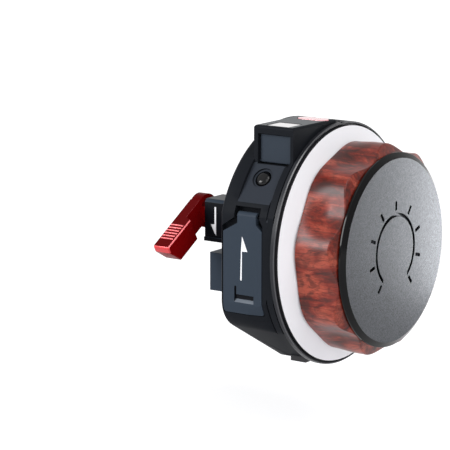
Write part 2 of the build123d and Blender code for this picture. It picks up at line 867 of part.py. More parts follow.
# Spring clip that holds the shaft behind the rear bearing
with BuildPart() as shaft_clip:
    with BuildSketch(Plane.YZ.offset(rear_bearing_x - clip_thick)):
        Circle(clip_r)
        Circle(clip_inner_r, mode=Mode.SUBTRACT)
        with Locations((0, -clip_r)):
            Rectangle(clip_mouth, clip_r, mode=Mode.SUBTRACT)
    extrude(amount=clip_thick)
save(shaft_clip, "shaft_clip")

# Encoder magnet in the shaft's end
with BuildPart() as encoder_magnet:
    with BuildSketch(Plane.YZ.offset(shaft_end)):
        Circle(magnet_r)
    extrude(amount=magnet_thick)
save(encoder_magnet, "encoder_magnet")

# White marking ring, sloping up to the grip's foot, hollow at the back
with BuildPart() as marking_ring:
    with BuildSketch(Plane.XY):
        with BuildLine():
            Polyline(
                (ring_back, hub_r + running_gap),
                (ring_back, ring_r),
                (ring_back + ring_edge, ring_r),
                (grip_back, ring_slope_r),
                (grip_back, hub_r + running_gap),
                close=True,
            )
        make_face()
    revolve(axis=Axis.X)
    with BuildSketch(Plane.YZ.offset(ring_back)):
        Circle(ring_r - ring_relief_wall)
        Circle(hub_r + ring_relief_wall, mode=Mode.SUBTRACT)
    extrude(amount=ring_relief_depth, mode=Mode.SUBTRACT)
    ring_screw_spots = [polar(ring_screw_circle_r, angle) for angle in ring_screw_angles]
    ring_screw_face = ring_back + ring_relief_depth
    with BuildSketch(Plane.YZ.offset(ring_screw_face)):
        with Locations(*ring_screw_spots):
            Circle(small_shank_r + slip_gap)
    extrude(amount=grip_back - ring_screw_face, mode=Mode.SUBTRACT)
    with BuildSketch(Plane.YZ.offset(ring_screw_face)):
        with Locations(*ring_screw_spots):
            Circle(small_head_r + slip_gap)
    extrude(amount=small_head, mode=Mode.SUBTRACT)
save(marking_ring, "marking_ring")

# Wooden grip with soft lobes, its outer end turned down to the cap
lobe_points = []
for number in range(2 * grip_lobes):
    lobe_r = grip_lobe_r if number % 2 == 0 else grip_flute_r
    lobe_points.append(polar(lobe_r, grip_lobe_angle + number * 180 / grip_lobes))
chamfer_slope = (grip_lobe_r - grip_end_r) / grip_chamfer_length
chamfer_reach = (grip_lobe_r + overrun - grip_end_r) / chamfer_slope
with BuildPart() as wood_grip:
    with BuildSketch(Plane.YZ.offset(grip_back)):
        with BuildLine():
            Spline(*lobe_points, periodic=True)
        make_face()
    extrude(amount=grip_length)
    with BuildSketch(Plane.XY):
        with BuildLine():
            Polyline(
                (grip_back - overrun, 0),
                (grip_back - overrun, grip_lobe_r + overrun),
                (cap_back - chamfer_reach, grip_lobe_r + overrun),
                (cap_back, grip_end_r),
                (cap_back, 0),
                close=True,
            )
        make_face()
    revolve(axis=Axis.X, mode=Mode.INTERSECT)
    with BuildSketch(Plane.YZ.offset(grip_back)):
        Circle(hub_r + running_gap)
    extrude(amount=grip_length, mode=Mode.SUBTRACT)
    with BuildSketch(Plane.YZ.offset(grip_back)):
        with Locations(*ring_screw_spots):
            Circle(small_shank_r)
    extrude(amount=ring_screw_reach, mode=Mode.SUBTRACT)
save(wood_grip, "wood_grip")

with BuildPart() as ring_screws:
    screw_length = grip_back + ring_screw_reach - ring_screw_face - small_head
    screws(ring_screw_face, ring_screw_spots, small, screw_length)
save(ring_screws, "ring_screws")

# Cap: bevelled disc on three low bosses, with a plain dial engraved in its face
with BuildPart() as wheel_cap:
    with BuildSketch(Plane.XY):
        with BuildLine():
            Polyline(
                (cap_back, 0),
                (cap_back, cap_step_r),
                (cap_back + cap_step, cap_step_r),
                (cap_back + cap_step, cap_r),
                (cap_back + cap_step + cap_side, cap_r),
                (cap_back + cap_step + cap_side + cap_bevel, cap_face_r),
                (cap_back + cap_step + cap_side + cap_bevel, 0),
                close=True,
            )
        make_face()
    revolve(axis=Axis.X)
    cap_front = cap_back + cap_step + cap_side + cap_bevel
    with BuildSketch(Plane.YZ.offset(web_front)):
        with Locations(*cap_screw_spots):
            Circle(cap_boss_r)
    extrude(amount=cap_boss)
    with BuildSketch(Plane.YZ.offset(web_front)):
        with Locations(*cap_screw_spots):
            Circle(medium_shank_r)
    extrude(amount=cap_boss + cap_step, mode=Mode.SUBTRACT)
    with BuildSketch(Plane.YZ.offset(cap_front - dial_depth)):
        Circle(dial_r + dial_line / 2)
        Circle(dial_r - dial_line / 2, mode=Mode.SUBTRACT)
        with Locations((0, -dial_r)):
            Rectangle(
                2 * dial_r * math.sin(math.radians(dial_open_angle)),
                dial_r,
                mode=Mode.SUBTRACT,
            )
        for number in range(dial_ticks):
            angle = 270 + dial_open_angle + number * (360 - 2 * dial_open_angle) / (dial_ticks - 1)
            with Locations(polar(dial_tick_r, angle)):
                Rectangle(dial_tick, dial_line, rotation=angle)
    extrude(amount=dial_depth, mode=Mode.SUBTRACT)
save(wheel_cap, "wheel_cap")

with BuildPart() as cap_screws:
    screw_length = hub_web - medium_head + cap_boss + cap_step
    screws(web_back, cap_screw_spots, medium, screw_length)
save(cap_screws, "cap_screws")

# Long screws that hold the bezel's pillars to the housing's back wall
with BuildPart() as housing_screws:
    pillar_spots = [polar(pillar_circle_r, angle) for angle in pillar_angles]
    screw_length = back_wall - medium_head + pillar_screw_reach
    screws(body_back, pillar_spots, medium, screw_length)
save(housing_screws, "housing_screws")

# Main board with the encoder chip and the radio module
with BuildPart() as main_board:
    with BuildSketch(Plane.YZ.offset(main_board_back)):
        Circle(main_board_r)
        with Locations(*[polar(board_post_circle_r, angle) for angle in board_post_angles]):
            Circle(small_shank_r + slip_gap, mode=Mode.SUBTRACT)
    extrude(amount=main_board_thick)
save(main_board, "main_board")

with BuildPart() as board_screws:
    spots = [polar(board_post_circle_r, angle) for angle in board_post_angles]
    face = main_board_back - small_head
    screws(face, spots, small, board_screw_reach)
save(board_screws, "board_screws")

with BuildPart() as encoder_chip:
    with BuildSketch(Plane.YZ.offset(main_board_back + main_board_thick)):
        Rectangle(chip_size, chip_size)
    extrude(amount=chip_thick)
save(encoder_chip, "encoder_chip")

with BuildPart() as radio_module:
    with BuildSketch(Plane.YZ.offset(main_board_back + main_board_thick)):
        with Locations((radio_mid_y, radio_mid_z)):
            Rectangle(radio_length, radio_width)
    extrude(amount=radio_thick)
save(radio_module, "radio_module")

# Top board with the display, the record switch and the charging socket
board_front = bezel_back - moving_gap
with BuildPart() as top_board:
    with BuildSketch(Plane.XY.offset(top_board_top)):
        with Locations((board_back, board_near)):
            Rectangle(
                board_front - board_back,
                block_far - block_far_wall - top_board_margin - board_near,
                align=(Align.MIN, Align.MIN),
            )
    extrude(amount=-top_board_thick)
save(top_board, "top_board")

with BuildPart() as display_panel:
    with BuildSketch(Plane.XY.offset(top_board_top)):
        with Locations((window_mid[0], board_near)):
            Rectangle(display_length, display_width, align=(Align.CENTER, Align.MIN))
    extrude(amount=block_top - top_wall - slip_gap - top_board_top)
save(display_panel, "display_panel")

with BuildPart() as display_window:
    with BuildSketch(Plane.XY.offset(block_top - window_seat)):
        with Locations(window_mid):
            Rectangle(window_length, window_width)
    extrude(amount=window_thick)
save(display_window, "display_window")

record_switch_top = record_flange_low - record_travel - record_switch_gap
with BuildPart() as record_switch:
    with BuildSketch(Plane.XY.offset(top_board_top)):
        with Locations((record_mid_x, record_mid_y)):
            Rectangle(record_switch_size, record_switch_size)
    extrude(amount=record_switch_top - record_switch_cap - top_board_top)
    with BuildSketch(Plane.XY.offset(record_switch_top - record_switch_cap)):
        with Locations((record_mid_x, record_mid_y)):
            Circle(record_switch_cap_r)
    extrude(amount=record_switch_cap)
save(record_switch, "record_switch")

with BuildPart() as record_button:
    with BuildSketch(Plane.XY.offset(record_flange_low)):
        with Locations((record_mid_x, record_mid_y)):
            SlotOverall(record_length, record_width)
    extrude(amount=record_top - record_flange_low)
    fillet(record_button.faces().sort_by(Axis.Z)[-1].edges(), record_round)
    with BuildSketch(Plane.XY.offset(record_flange_low)):
        with Locations((record_mid_x, record_mid_y)):
            Rectangle(record_flange_length, record_width + 2 * record_flange)
    extrude(amount=record_flange_thick)
save(record_button, "record_button")

with BuildPart() as socket_shell:
    socket_face = block_near + port_depth + socket_setback
    with BuildSketch(Plane.XZ.offset(-socket_face)):
        with Locations((port_mid, socket_low + socket_height / 2)):
            Rectangle(socket_width, socket_height)
            Rectangle(
                socket_width - 2 * socket_wall,
                socket_height - 2 * socket_wall,
                mode=Mode.SUBTRACT,
            )
    extrude(amount=-socket_length)
save(socket_shell, "socket_shell")

with BuildPart() as socket_tongue:
    with BuildSketch(Plane.XZ.offset(-socket_face - socket_length)):
        with Locations((port_mid, socket_low + socket_height / 2)):
            Rectangle(socket_width - 2 * socket_wall, socket_height - 2 * socket_wall)
    extrude(amount=socket_back_wall)
    with BuildSketch(Plane.XZ.offset(-socket_face - socket_length)):
        with Locations((port_mid, socket_low + socket_height / 2)):
            Rectangle(tongue_width, tongue_thick)
    extrude(amount=socket_length - socket_back_wall)
save(socket_tongue, "socket_tongue")

# Port cover: flap on two stub pins at its lower edge
cover_back = port_back_edge + moving_gap
cover_width = port_width - 2 * moving_gap
with BuildPart() as port_cover:
    with BuildSketch(Plane.YZ.offset(cover_back)):
        with Locations((cover_axis_y, cover_axis_z)):
            Circle(cover_thick / 2)
            Rectangle(
                cover_thick,
                port_high - moving_gap - cover_axis_z,
                align=(Align.CENTER, Align.MIN),
            )
    extrude(amount=cover_width)
    with BuildSketch(Plane.YZ.offset(cover_back - moving_gap - cover_pin_reach + slip_gap)):
        with Locations((cover_axis_y, cover_axis_z)):
            Circle(cover_pin_r)
    extrude(amount=cover_width + 2 * (moving_gap + cover_pin_reach - slip_gap))
save(port_cover, "port_cover")

# Calibration button, its switch and its small board
with BuildPart() as cal_button:
    with BuildSketch(cal_plane(cal_facet - cal_flange_drop - cal_flange_thick)):
        Circle(cal_r)
    extrude(amount=cal_flange_drop + cal_flange_thick + cal_proud)
    dome_edge = cal_button.edges().filter_by(GeomType.CIRCLE).sort_by(Axis((0, 0, 0), cal_normal))[-1]
    fillet(dome_edge, cal_round)
    with BuildSketch(cal_plane(cal_facet - cal_flange_drop - cal_flange_thick)):
        Circle(cal_flange_r)
    extrude(amount=cal_flange_thick)
save(cal_button, "cal_button")

with BuildPart() as cal_board:
    with BuildSketch(cal_plane(cal_board_top - cal_board_thick)):
        Rectangle(cal_board_length, cal_board_width)
    extrude(amount=cal_board_thick)
save(cal_board, "cal_board")

with BuildPart() as cal_switch:
    with BuildSketch(cal_plane(cal_board_top)):
        Rectangle(cal_switch_size, cal_switch_size)
    extrude(amount=cal_switch_height)
save(cal_switch, "cal_switch")

# Battery door, which follows the body's outside, and its pin
door_limit = shell(door_proud)
with BuildPart() as battery_door:
    with BuildSketch(Plane.XZ.offset(-door_plane_y)) as door_shape:
        door_outline(0, 0, 0, 0)
        fillet(door_shape.vertices().group_by(Axis.Y)[0], door_corner)
    extrude(amount=-door_thick)
    add(door_limit, mode=Mode.INTERSECT)
    with BuildSketch(Plane.YZ.offset(tongue_back)):
        with Locations((door_axis_y, door_axis_z)):
            Circle(door_knuckle_r)
    extrude(amount=tongue_span)
    with BuildSketch(Plane.XZ.offset(-door_plane_y)):
        with Locations((tongue_back, door_axis_z)):
            Rectangle(tongue_span, 2 * door_knuckle_r, align=(Align.MIN, Align.MIN))
    extrude(amount=-2 * door_knuckle_r, mode=Mode.SUBTRACT)
    with BuildSketch(Plane.YZ.offset(tongue_back)):
        with Locations((door_axis_y, door_axis_z)):
            Circle(door_knuckle_r)
            Circle(door_pin_r + running_gap, mode=Mode.SUBTRACT)
    extrude(amount=tongue_span)
    with BuildSketch(Plane.YZ.offset(tongue_back)):
        with Locations((door_axis_y, door_axis_z)):
            Circle(door_pin_r + running_gap)
    extrude(amount=tongue_span, mode=Mode.SUBTRACT)
    nail_back = door_back + nail_from_back
    nail_low = door_low + nail_rise
    with BuildSketch(Plane.YZ.offset(nail_back)):
        Polygon(
            (door_plane_y, nail_low),
            (door_plane_y + nail_depth, nail_low + nail_slope),
            (door_plane_y + nail_depth, nail_low + nail_slope + nail_height),
            (door_plane_y, nail_low + nail_slope + nail_height),
            align=None,
        )
    extrude(amount=nail_width, mode=Mode.SUBTRACT)
    with BuildSketch(Plane.XZ.offset(-door_plane_y)):
        with Locations((nail_back, nail_low + nail_slope + nail_height)):
            Rectangle(slit_width, slit_height, align=(Align.MIN, Align.MIN))
    extrude(amount=-slit_depth, mode=Mode.SUBTRACT)
save(battery_door, "battery_door")

with BuildPart() as door_pin:
    with BuildSketch(Plane.YZ.offset(tongue_back - tongue_gap - door_pin_reach + slip_gap)):
        with Locations((door_axis_y, door_axis_z)):
            Circle(door_pin_r)
    extrude(amount=tongue_span + 2 * (tongue_gap + door_pin_reach - slip_gap))
save(door_pin, "door_pin")

# Battery, its tray and its spring contacts
pack_near = recess_floor + pack_setback
pack_far = pack_near + pack_length
tray_far = pack_far + contact_gap + contact_thick + tray_wall
tray_low = pack_low - pack_gap - tray_wall
with BuildPart() as battery_tray:
    with BuildSketch(Plane.XZ.offset(-tray_near)):
        with Locations((tray_back, tray_low)):
            Rectangle(
                pack_thick + 2 * (pack_gap + tray_wall),
                pack_width + 2 * (pack_gap + tray_wall),
                align=(Align.MIN, Align.MIN),
            )
    extrude(amount=tray_near - tray_far)
    with BuildSketch(Plane.XZ.offset(-tray_near)):
        with Locations((pack_back - pack_gap, pack_low - pack_gap)):
            Rectangle(pack_thick + 2 * pack_gap, pack_width + 2 * pack_gap, align=(Align.MIN, Align.MIN))
    extrude(amount=tray_near - tray_far + tray_wall, mode=Mode.SUBTRACT)
save(battery_tray, "battery_tray")

with BuildPart() as battery_pack:
    with BuildSketch(Plane.XZ.offset(-pack_near)):
        with Locations((pack_back, pack_low)):
            RectangleRounded(pack_thick, pack_width, pack_round, align=(Align.MIN, Align.MIN))
    extrude(amount=-pack_length)
save(battery_pack, "battery_pack")

with BuildPart() as battery_contacts:
    with BuildSketch(Plane.XZ.offset(-pack_far - contact_gap)):
        with Locations((pack_back + pack_thick / 2, pack_low + pack_width / 2)):
            with GridLocations(0, contact_spacing, 1, 3):
                Rectangle(contact_width, contact_height)
    extrude(amount=-contact_thick)
save(battery_contacts, "battery_contacts")

# Power slider and the switch it moves
with BuildPart() as power_slider:
    with BuildSketch(Plane.XY.offset(-slider_floor - slip_gap)):
        with Locations((slider_back, slider_mid_y)):
            Rectangle(slider_length, slider_width, align=(Align.MIN, Align.CENTER))
    extrude(amount=-(body_r + slider_proud - slider_floor - slip_gap))
    with BuildSketch(Plane.XY.offset(-slider_floor - slip_gap)):
        with Locations((stem_back, slider_mid_y)):
            Rectangle(slider_stem_length, slider_stem_width, align=(Align.MIN, Align.CENTER))
    extrude(amount=slider_stem_depth + slip_gap)
save(power_slider, "power_slider")

switch_low = -cavity_r + slide_switch_rise
with BuildPart() as slide_switch:
    with BuildSketch(Plane.XY.offset(switch_low)):
        with Locations((stem_back + (slider_stem_length + slider_travel) / 2, slider_mid_y)):
            Rectangle(slide_switch_length, slide_switch_width)
    extrude(amount=slide_switch_height)
    with BuildSketch(Plane.XY.offset(switch_low)):
        with Locations((stem_back - moving_gap, slider_mid_y)):
            Rectangle(
                slider_stem_length + slider_travel + 2 * moving_gap,
                slider_stem_width + 2 * moving_gap,
                align=(Align.MIN, Align.CENTER),
            )
    extrude(amount=slide_switch_slot, mode=Mode.SUBTRACT)
save(slide_switch, "slide_switch")

# Mount plate on the housing's back, with its screws
plate_spots = [
    (side * plate_screw_y / 2, end * plate_screw_z / 2) for side in (-1, 1) for end in (-1, 1)
]
clamp_spots = [
    (clamp_screw_mid_y + side * clamp_screw_y / 2, clamp_screw_mid_z + end * clamp_screw_z / 2)
    for side in (-1, 1)
    for end in (-1, 1)
]
with BuildPart() as mount_plate:
    with BuildSketch(Plane.YZ.offset(clamp_depth)):
        with Locations((0, (plate_low + plate_high) / 2)):
            RectangleRounded(2 * plate_half_width, plate_high - plate_low, plate_corner)
    extrude(amount=plate_depth)
    with BuildSketch(Plane.YZ.offset(clamp_depth)):
        with Locations(*plate_spots):
            Circle(medium_shank_r + slip_gap)
    extrude(amount=plate_depth, mode=Mode.SUBTRACT)
    with BuildSketch(Plane.YZ.offset(clamp_depth)):
        with Locations(*plate_spots):
            Circle(medium_head_r + slip_gap)
    extrude(amount=medium_head, mode=Mode.SUBTRACT)
    with BuildSketch(Plane.YZ.offset(clamp_depth)):
        with Locations(*clamp_spots):
            Circle(medium_shank_r)
    extrude(amount=clamp_screw_reach, mode=Mode.SUBTRACT)
save(mount_plate, "mount_plate")

with BuildPart() as plate_screws:
    screw_length = plate_depth - medium_head + plate_screw_reach
    screws(clamp_depth, plate_spots, medium, screw_length)
save(plate_screws, "plate_screws")

# Clamp body: slab with the rail seat, fixed lip, lock block and foot under the moving jaw
with BuildPart() as clamp_body:
    with BuildSketch(Plane.YZ):
        with Locations((slab_near, clamp_low)):
            Rectangle(fixed_lip_edge - slab_near, clamp_high - clamp_low, align=(Align.MIN, Align.MIN))
    extrude(amount=clamp_depth)
    with BuildSketch(Plane.YZ):
        with Locations((foot_near, clamp_low)):
            Rectangle(
                slab_near - foot_near,
                jaw_low - moving_gap - clamp_low,
                align=(Align.MIN, Align.MIN),
            )
    extrude(amount=clamp_depth)
    with BuildSketch(Plane.YZ.offset(lock_back)):
        with BuildLine():
            Polyline(
                (lock_near - lock_lip, lock_low),
                (lock_near - lock_lip, lock_low + lock_lip_height),
                (lock_near, lock_low + lock_lip_height),
                (lock_near, lock_high - lock_bevel),
                (lock_near + lock_bevel, lock_high),
                (slab_near - rail_gap - lip_foot, lock_high),
                (slab_near - rail_gap - lip_foot, lock_low),
                close=True,
            )
        make_face()
    extrude(amount=clamp_depth - lock_back)
    with BuildSketch(Plane.XY.offset(lock_low)):
        with Locations((lock_back + lock_face, lock_near + lock_step)):
            Rectangle(clamp_depth, lock_step + lock_lip, align=(Align.MIN, Align.MAX))
    extrude(amount=lock_high - lock_low, mode=Mode.SUBTRACT)
    with BuildSketch(Plane.YZ):
        with Locations((slab_near, lock_low)):
            Rectangle(
                rail_gap + lip_foot,
                lock_high - lock_low,
                align=(Align.MAX, Align.MIN),
            )
    extrude(amount=clamp_depth)
    with BuildSketch(Plane.XY.offset(clamp_low)):
        with BuildLine():
            fixed_near = rail_half + rail_gap
            Polyline(
                (0, fixed_near),
                (-rail_head, fixed_near),
                (-rail_head - rail_bevel, fixed_near - rail_bevel),
                (-fixed_lip, fixed_near - rail_bevel),
                (-fixed_lip, fixed_lip_edge - lip_corner),
                (-fixed_lip + lip_corner, fixed_lip_edge),
                (0, fixed_lip_edge),
                close=True,
            )
        make_face()
    extrude(amount=clamp_high - clamp_low)
    with BuildSketch(Plane.YZ.offset(pocket_back)):
        with Locations((lock_near + pocket_wall, lock_low)):
            Rectangle(
                slab_near - lock_near - pocket_wall,
                jaw_arm_high + moving_gap - lock_low,
                align=(Align.MIN, Align.MIN),
            )
    extrude(amount=clamp_depth - pocket_back, mode=Mode.SUBTRACT)
    with BuildSketch(Plane.YZ.offset(lock_back)):
        with Locations((lever_y, lever_z)):
            Circle(shaft_r + running_gap)
    extrude(amount=pocket_back - lock_back, mode=Mode.SUBTRACT)
    with BuildSketch(Plane.YZ):
        with Locations(*clamp_spots):
            Circle(medium_shank_r + slip_gap)
    extrude(amount=clamp_depth, mode=Mode.SUBTRACT)
    with BuildSketch(Plane.YZ):
        with Locations(*clamp_spots):
            Circle(medium_head_r + slip_gap)
    extrude(amount=medium_head, mode=Mode.SUBTRACT)
save(clamp_body, "clamp_body")

with BuildPart() as clamp_screws:
    screw_length = clamp_depth - medium_head + clamp_screw_reach
    screws(0, clamp_spots, medium, screw_length)
save(clamp_screws, "clamp_screws")

# Moving jaw: lip behind the rail's edge and an arm with the slot for the eccentric pin
pin_y = lever_y + polar(cam_offset, cam_rest_angle)[0]
pin_z = lever_z + polar(cam_offset, cam_rest_angle)[1]
slot_low = lever_z - cam_offset - cam_pin_r - cam_slot_gap
slot_high = pin_z + cam_pin_r + cam_slot_gap
jaw_front = clamp_depth - jaw_front_gap
with BuildPart() as moving_jaw:
    with BuildSketch(Plane.YZ.offset(jaw_back)):
        with BuildLine():
            Polyline(
                (jaw_near, jaw_low),
                (jaw_far, jaw_low),
                (jaw_far, jaw_arm_high),
                (jaw_arm_near, jaw_arm_high),
                (jaw_arm_near, jaw_arm_low),
                (jaw_neck_near, jaw_arm_low),
                (jaw_neck_near, jaw_high),
                (jaw_near, jaw_high),
                close=True,
            )
        make_face()
    extrude(amount=jaw_front - jaw_back)
    with BuildSketch(Plane.XY.offset(jaw_low)):
        with BuildLine():
            jaw_face = -rail_half - rail_gap
            Polyline(
                (jaw_back, jaw_near),
                (-jaw_lip + jaw_corner, jaw_near),
                (-jaw_lip, jaw_near + jaw_corner),
                (-jaw_lip, jaw_face + rail_bevel),
                (-rail_head - rail_bevel, jaw_face + rail_bevel),
                (-rail_head, jaw_face),
                (jaw_back, jaw_face),
                close=True,
            )
        make_face()
    extrude(amount=jaw_high - jaw_low)
    with BuildSketch(Plane.YZ.offset(jaw_back)):
        with Locations((pin_y, (slot_low + slot_high) / 2)):
            SlotOverall(slot_high - slot_low, 2 * (cam_pin_r + cam_slot_gap), rotation=90)
    extrude(amount=jaw_front - jaw_back, mode=Mode.SUBTRACT)
save(moving_jaw, "moving_jaw")

# Lever shaft with its collar and eccentric pin
shaft_tip = lever_back + lever_skin
lever_seat = lock_back - lever_boss_gap
collar_back = pocket_back + 2 * slip_gap
with BuildPart() as cam_shaft:
    with BuildSketch(Plane.YZ.offset(shaft_tip)):
        with Locations((lever_y, lever_z)):
            Rectangle(shaft_square, shaft_square, rotation=lever_angle)
    extrude(amount=lever_seat - shaft_tip)
    with BuildSketch(Plane.YZ.offset(lever_seat)):
        with Locations((lever_y, lever_z)):
            Circle(shaft_r)
    extrude(amount=collar_back - lever_seat)
    with BuildSketch(Plane.YZ.offset(collar_back)):
        with Locations((lever_y, lever_z)):
            Circle(shaft_collar_r)
    extrude(amount=shaft_collar)
    with BuildSketch(Plane.YZ.offset(collar_back + shaft_collar)):
        with Locations((pin_y, pin_z)):
            Circle(cam_pin_r)
    extrude(amount=cam_pin_length)
    with BuildSketch(Plane.YZ.offset(shaft_tip)):
        with Locations((lever_y, lever_z)):
            Circle(small_shank_r)
    extrude(amount=lever_screw_reach, mode=Mode.SUBTRACT)
save(cam_shaft, "cam_shaft")


def lever_point(along, across):
    """Point of the lever's outline, counted from its hub along the arm and across it."""
    turn = math.radians(lever_angle)
    y = lever_y + along * math.cos(turn) + across * math.sin(turn)
    z = lever_z + along * math.sin(turn) - across * math.cos(turn)
    return (y, z)


# Lock lever: hub with its boss, a thin arm stepping out to a thicker handle, and finger ribs
lever_front = lever_back + lever_thick
lever_turn = math.radians(lever_angle)
lever_side = Plane(
    origin=(0, lever_y, lever_z),
    x_dir=(0, math.cos(lever_turn), math.sin(lever_turn)),
    z_dir=(0, math.sin(lever_turn), -math.cos(lever_turn)),
)
with BuildPart() as lock_lever:
    with BuildSketch(Plane.YZ.offset(lever_back)) as lever_shape:
        Polygon(
            lever_point(lever_root, lever_top),
            lever_point(lever_reach, lever_top),
            lever_point(lever_reach, lever_nose),
            lever_point(lever_reach - lever_slant, -lever_low),
            lever_point(lever_root, -lever_low),
            align=None,
        )
        fillet(lever_shape.vertices().sort_by_distance(lever_point(lever_reach, lever_top))[0], lever_tip_round)
        fillet(lever_shape.vertices().sort_by(Axis.Y)[0], lever_bottom_round)
        with Locations((lever_y, lever_z)):
            Circle(lever_hub_r)
    extrude(amount=lever_thick)
    chamfer(lock_lever.faces().sort_by(Axis.X)[0].edges(), lever_chamfer)
    chamfer(lock_lever.faces().sort_by(Axis.X)[-1].edges(), lever_chamfer)
    with BuildSketch(lever_side.offset(-lever_hub_r - overrun)):
        Polygon(
            (-lever_hub_r - overrun, lever_front - lever_step),
            (lever_step_start, lever_front - lever_step),
            (lever_step_end, lever_front),
            (lever_step_end, lever_front + overrun),
            (-lever_hub_r - overrun, lever_front + overrun),
            align=None,
        )
    extrude(amount=lever_hub_r + lever_top + 2 * overrun, mode=Mode.SUBTRACT)
    with BuildSketch(Plane.YZ.offset(lever_front - lever_step)):
        with Locations((lever_y, lever_z)):
            Circle(lever_boss_r)
    extrude(amount=lever_seat - lever_front + lever_step)
    for number in range(rib_count):
        rib_start = rib_first + number * rib_spacing
        with BuildSketch(Plane.YZ.offset(lever_back + rib_inset)):
            Polygon(
                lever_point(rib_start, lever_top - rib_height),
                lever_point(rib_start, lever_top + rib_height),
                lever_point(rib_start + rib_width, lever_top + rib_height),
                lever_point(rib_start + rib_width, lever_top - rib_height),
                align=None,
            )
        extrude(amount=lever_thick - 2 * rib_inset)
    with BuildSketch(Plane.YZ.offset(shaft_tip)):
        with Locations((lever_y, lever_z)):
            Rectangle(shaft_square, shaft_square, rotation=lever_angle)
    extrude(amount=lever_seat - shaft_tip, mode=Mode.SUBTRACT)
    with BuildSketch(Plane.YZ.offset(lever_back)):
        with Locations((lever_y, lever_z)):
            Circle(small_shank_r + slip_gap)
    extrude(amount=lever_skin, mode=Mode.SUBTRACT)
    with BuildSketch(Plane.YZ.offset(lever_back)):
        with Locations((lever_y, lever_z)):
            Circle(small_head_r + slip_gap)
    extrude(amount=small_head, mode=Mode.SUBTRACT)
save(lock_lever, "lock_lever")

with BuildPart() as lever_screw:
    screw_length = lever_skin - small_head + lever_screw_reach
    screws(lever_back, [(lever_y, lever_z)], small, screw_length)
save(lever_screw, "lever_screw")
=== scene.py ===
import bpy
import bmesh
import json
import math
from mathutils import Matrix, Vector


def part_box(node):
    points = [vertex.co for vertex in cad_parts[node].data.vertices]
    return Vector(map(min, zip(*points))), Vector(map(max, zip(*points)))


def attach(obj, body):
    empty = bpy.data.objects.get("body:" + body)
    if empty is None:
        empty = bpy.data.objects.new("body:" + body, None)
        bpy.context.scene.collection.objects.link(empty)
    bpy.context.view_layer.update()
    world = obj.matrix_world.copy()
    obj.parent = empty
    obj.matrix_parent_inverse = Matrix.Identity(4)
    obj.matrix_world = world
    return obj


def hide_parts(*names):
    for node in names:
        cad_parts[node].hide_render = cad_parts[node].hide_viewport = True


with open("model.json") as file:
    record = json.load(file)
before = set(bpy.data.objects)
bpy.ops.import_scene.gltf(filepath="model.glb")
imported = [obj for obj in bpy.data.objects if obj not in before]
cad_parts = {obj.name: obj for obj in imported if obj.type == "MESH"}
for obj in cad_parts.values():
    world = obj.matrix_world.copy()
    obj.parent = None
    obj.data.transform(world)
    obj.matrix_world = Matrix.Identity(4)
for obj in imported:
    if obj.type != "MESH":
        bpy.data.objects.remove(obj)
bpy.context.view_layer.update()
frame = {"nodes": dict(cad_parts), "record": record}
cadNodes = frame["nodes"]
bodyOf = {n: b for b, ns in frame["record"]["behaviour"]["bodies"].items() for n in ns}
slotOf = {row["node"]: row["material_slot"] for row in frame["record"]["subparts"]}
mm = 0.001
print("frame loaded:", len(cadNodes), "nodes")


# Materials. Colours are given as a screen shows them, from 0 to 255.
def linear(rgb):
    return tuple(c / 255 / 12.92 if c <= 10 else ((c / 255 + 0.055) / 1.055) ** 2.4 for c in rgb)


def newMaterial(name, look):
    made = bpy.data.materials.new(name)
    made.use_nodes = True
    shader = made.node_tree.nodes["Principled BSDF"]
    shader.inputs["Base Color"].default_value = (*linear(look["colour"]), 1)
    shader.inputs["Roughness"].default_value = look.get("roughness", 0.5)
    shader.inputs["Metallic"].default_value = look.get("metallic", 0)
    shader.inputs["Specular IOR Level"].default_value = look.get("specular", 0.5)
    shader.inputs["Coat Weight"].default_value = look.get("coat", 0)
    shader.inputs["Coat Roughness"].default_value = look.get("coatRoughness", 0.1)
    shader.inputs["Coat IOR"].default_value = look.get("coatIor", 1.5)
    return made


def addNode(tree, kind, values=None, **props):
    node = tree.nodes.new(kind)
    for key, value in props.items():
        setattr(node, key, value)
    for key, value in (values or {}).items():
        node.inputs[key].default_value = value
    return node


def feed(tree, entry, term):  # a term is a socket or a number
    if isinstance(term, bpy.types.NodeSocket):
        tree.links.new(term, entry)
    else:
        entry.default_value = term


def calc(tree, operation, *terms):  # one Math node
    node = addNode(tree, "ShaderNodeMath", operation=operation)
    for number, term in enumerate(terms):
        feed(tree, node.inputs[number], term)
    return node.outputs[0]


def objectCoords(tree, scale):
    coords = addNode(tree, "ShaderNodeTexCoord")
    mapping = addNode(tree, "ShaderNodeMapping", {"Scale": scale})
    tree.links.new(coords.outputs["Object"], mapping.inputs["Vector"])
    return mapping.outputs["Vector"]


def noiseOf(tree, scale, detail, roughness=0.6, distortion=0.0):
    noise = addNode(tree, "ShaderNodeTexNoise", {
        "Scale": 1, "Detail": detail, "Roughness": roughness, "Distortion": distortion,
    })
    tree.links.new(objectCoords(tree, scale), noise.inputs["Vector"])
    return noise.outputs["Fac"]


def spreadOf(tree, source, fromLow, fromHigh, toLow, toHigh):
    spread = addNode(tree, "ShaderNodeMapRange", {
        "From Min": fromLow, "From Max": fromHigh, "To Min": toLow, "To Max": toHigh,
    })
    tree.links.new(source, spread.inputs["Value"])
    return spread.outputs["Result"]


noiseSpan = (0.35, 0.65)  # the part of a noise's range that is used


def addGrain(made, size, strength, depth):  # fine bumps; size and depth in mm
    tree = made.node_tree
    bump = addNode(tree, "ShaderNodeBump", {"Strength": strength, "Distance": depth * mm})
    tree.links.new(noiseOf(tree, (1 / (size * mm),) * 3, 2), bump.inputs["Height"])
    tree.links.new(bump.outputs["Normal"], tree.nodes["Principled BSDF"].inputs["Normal"])


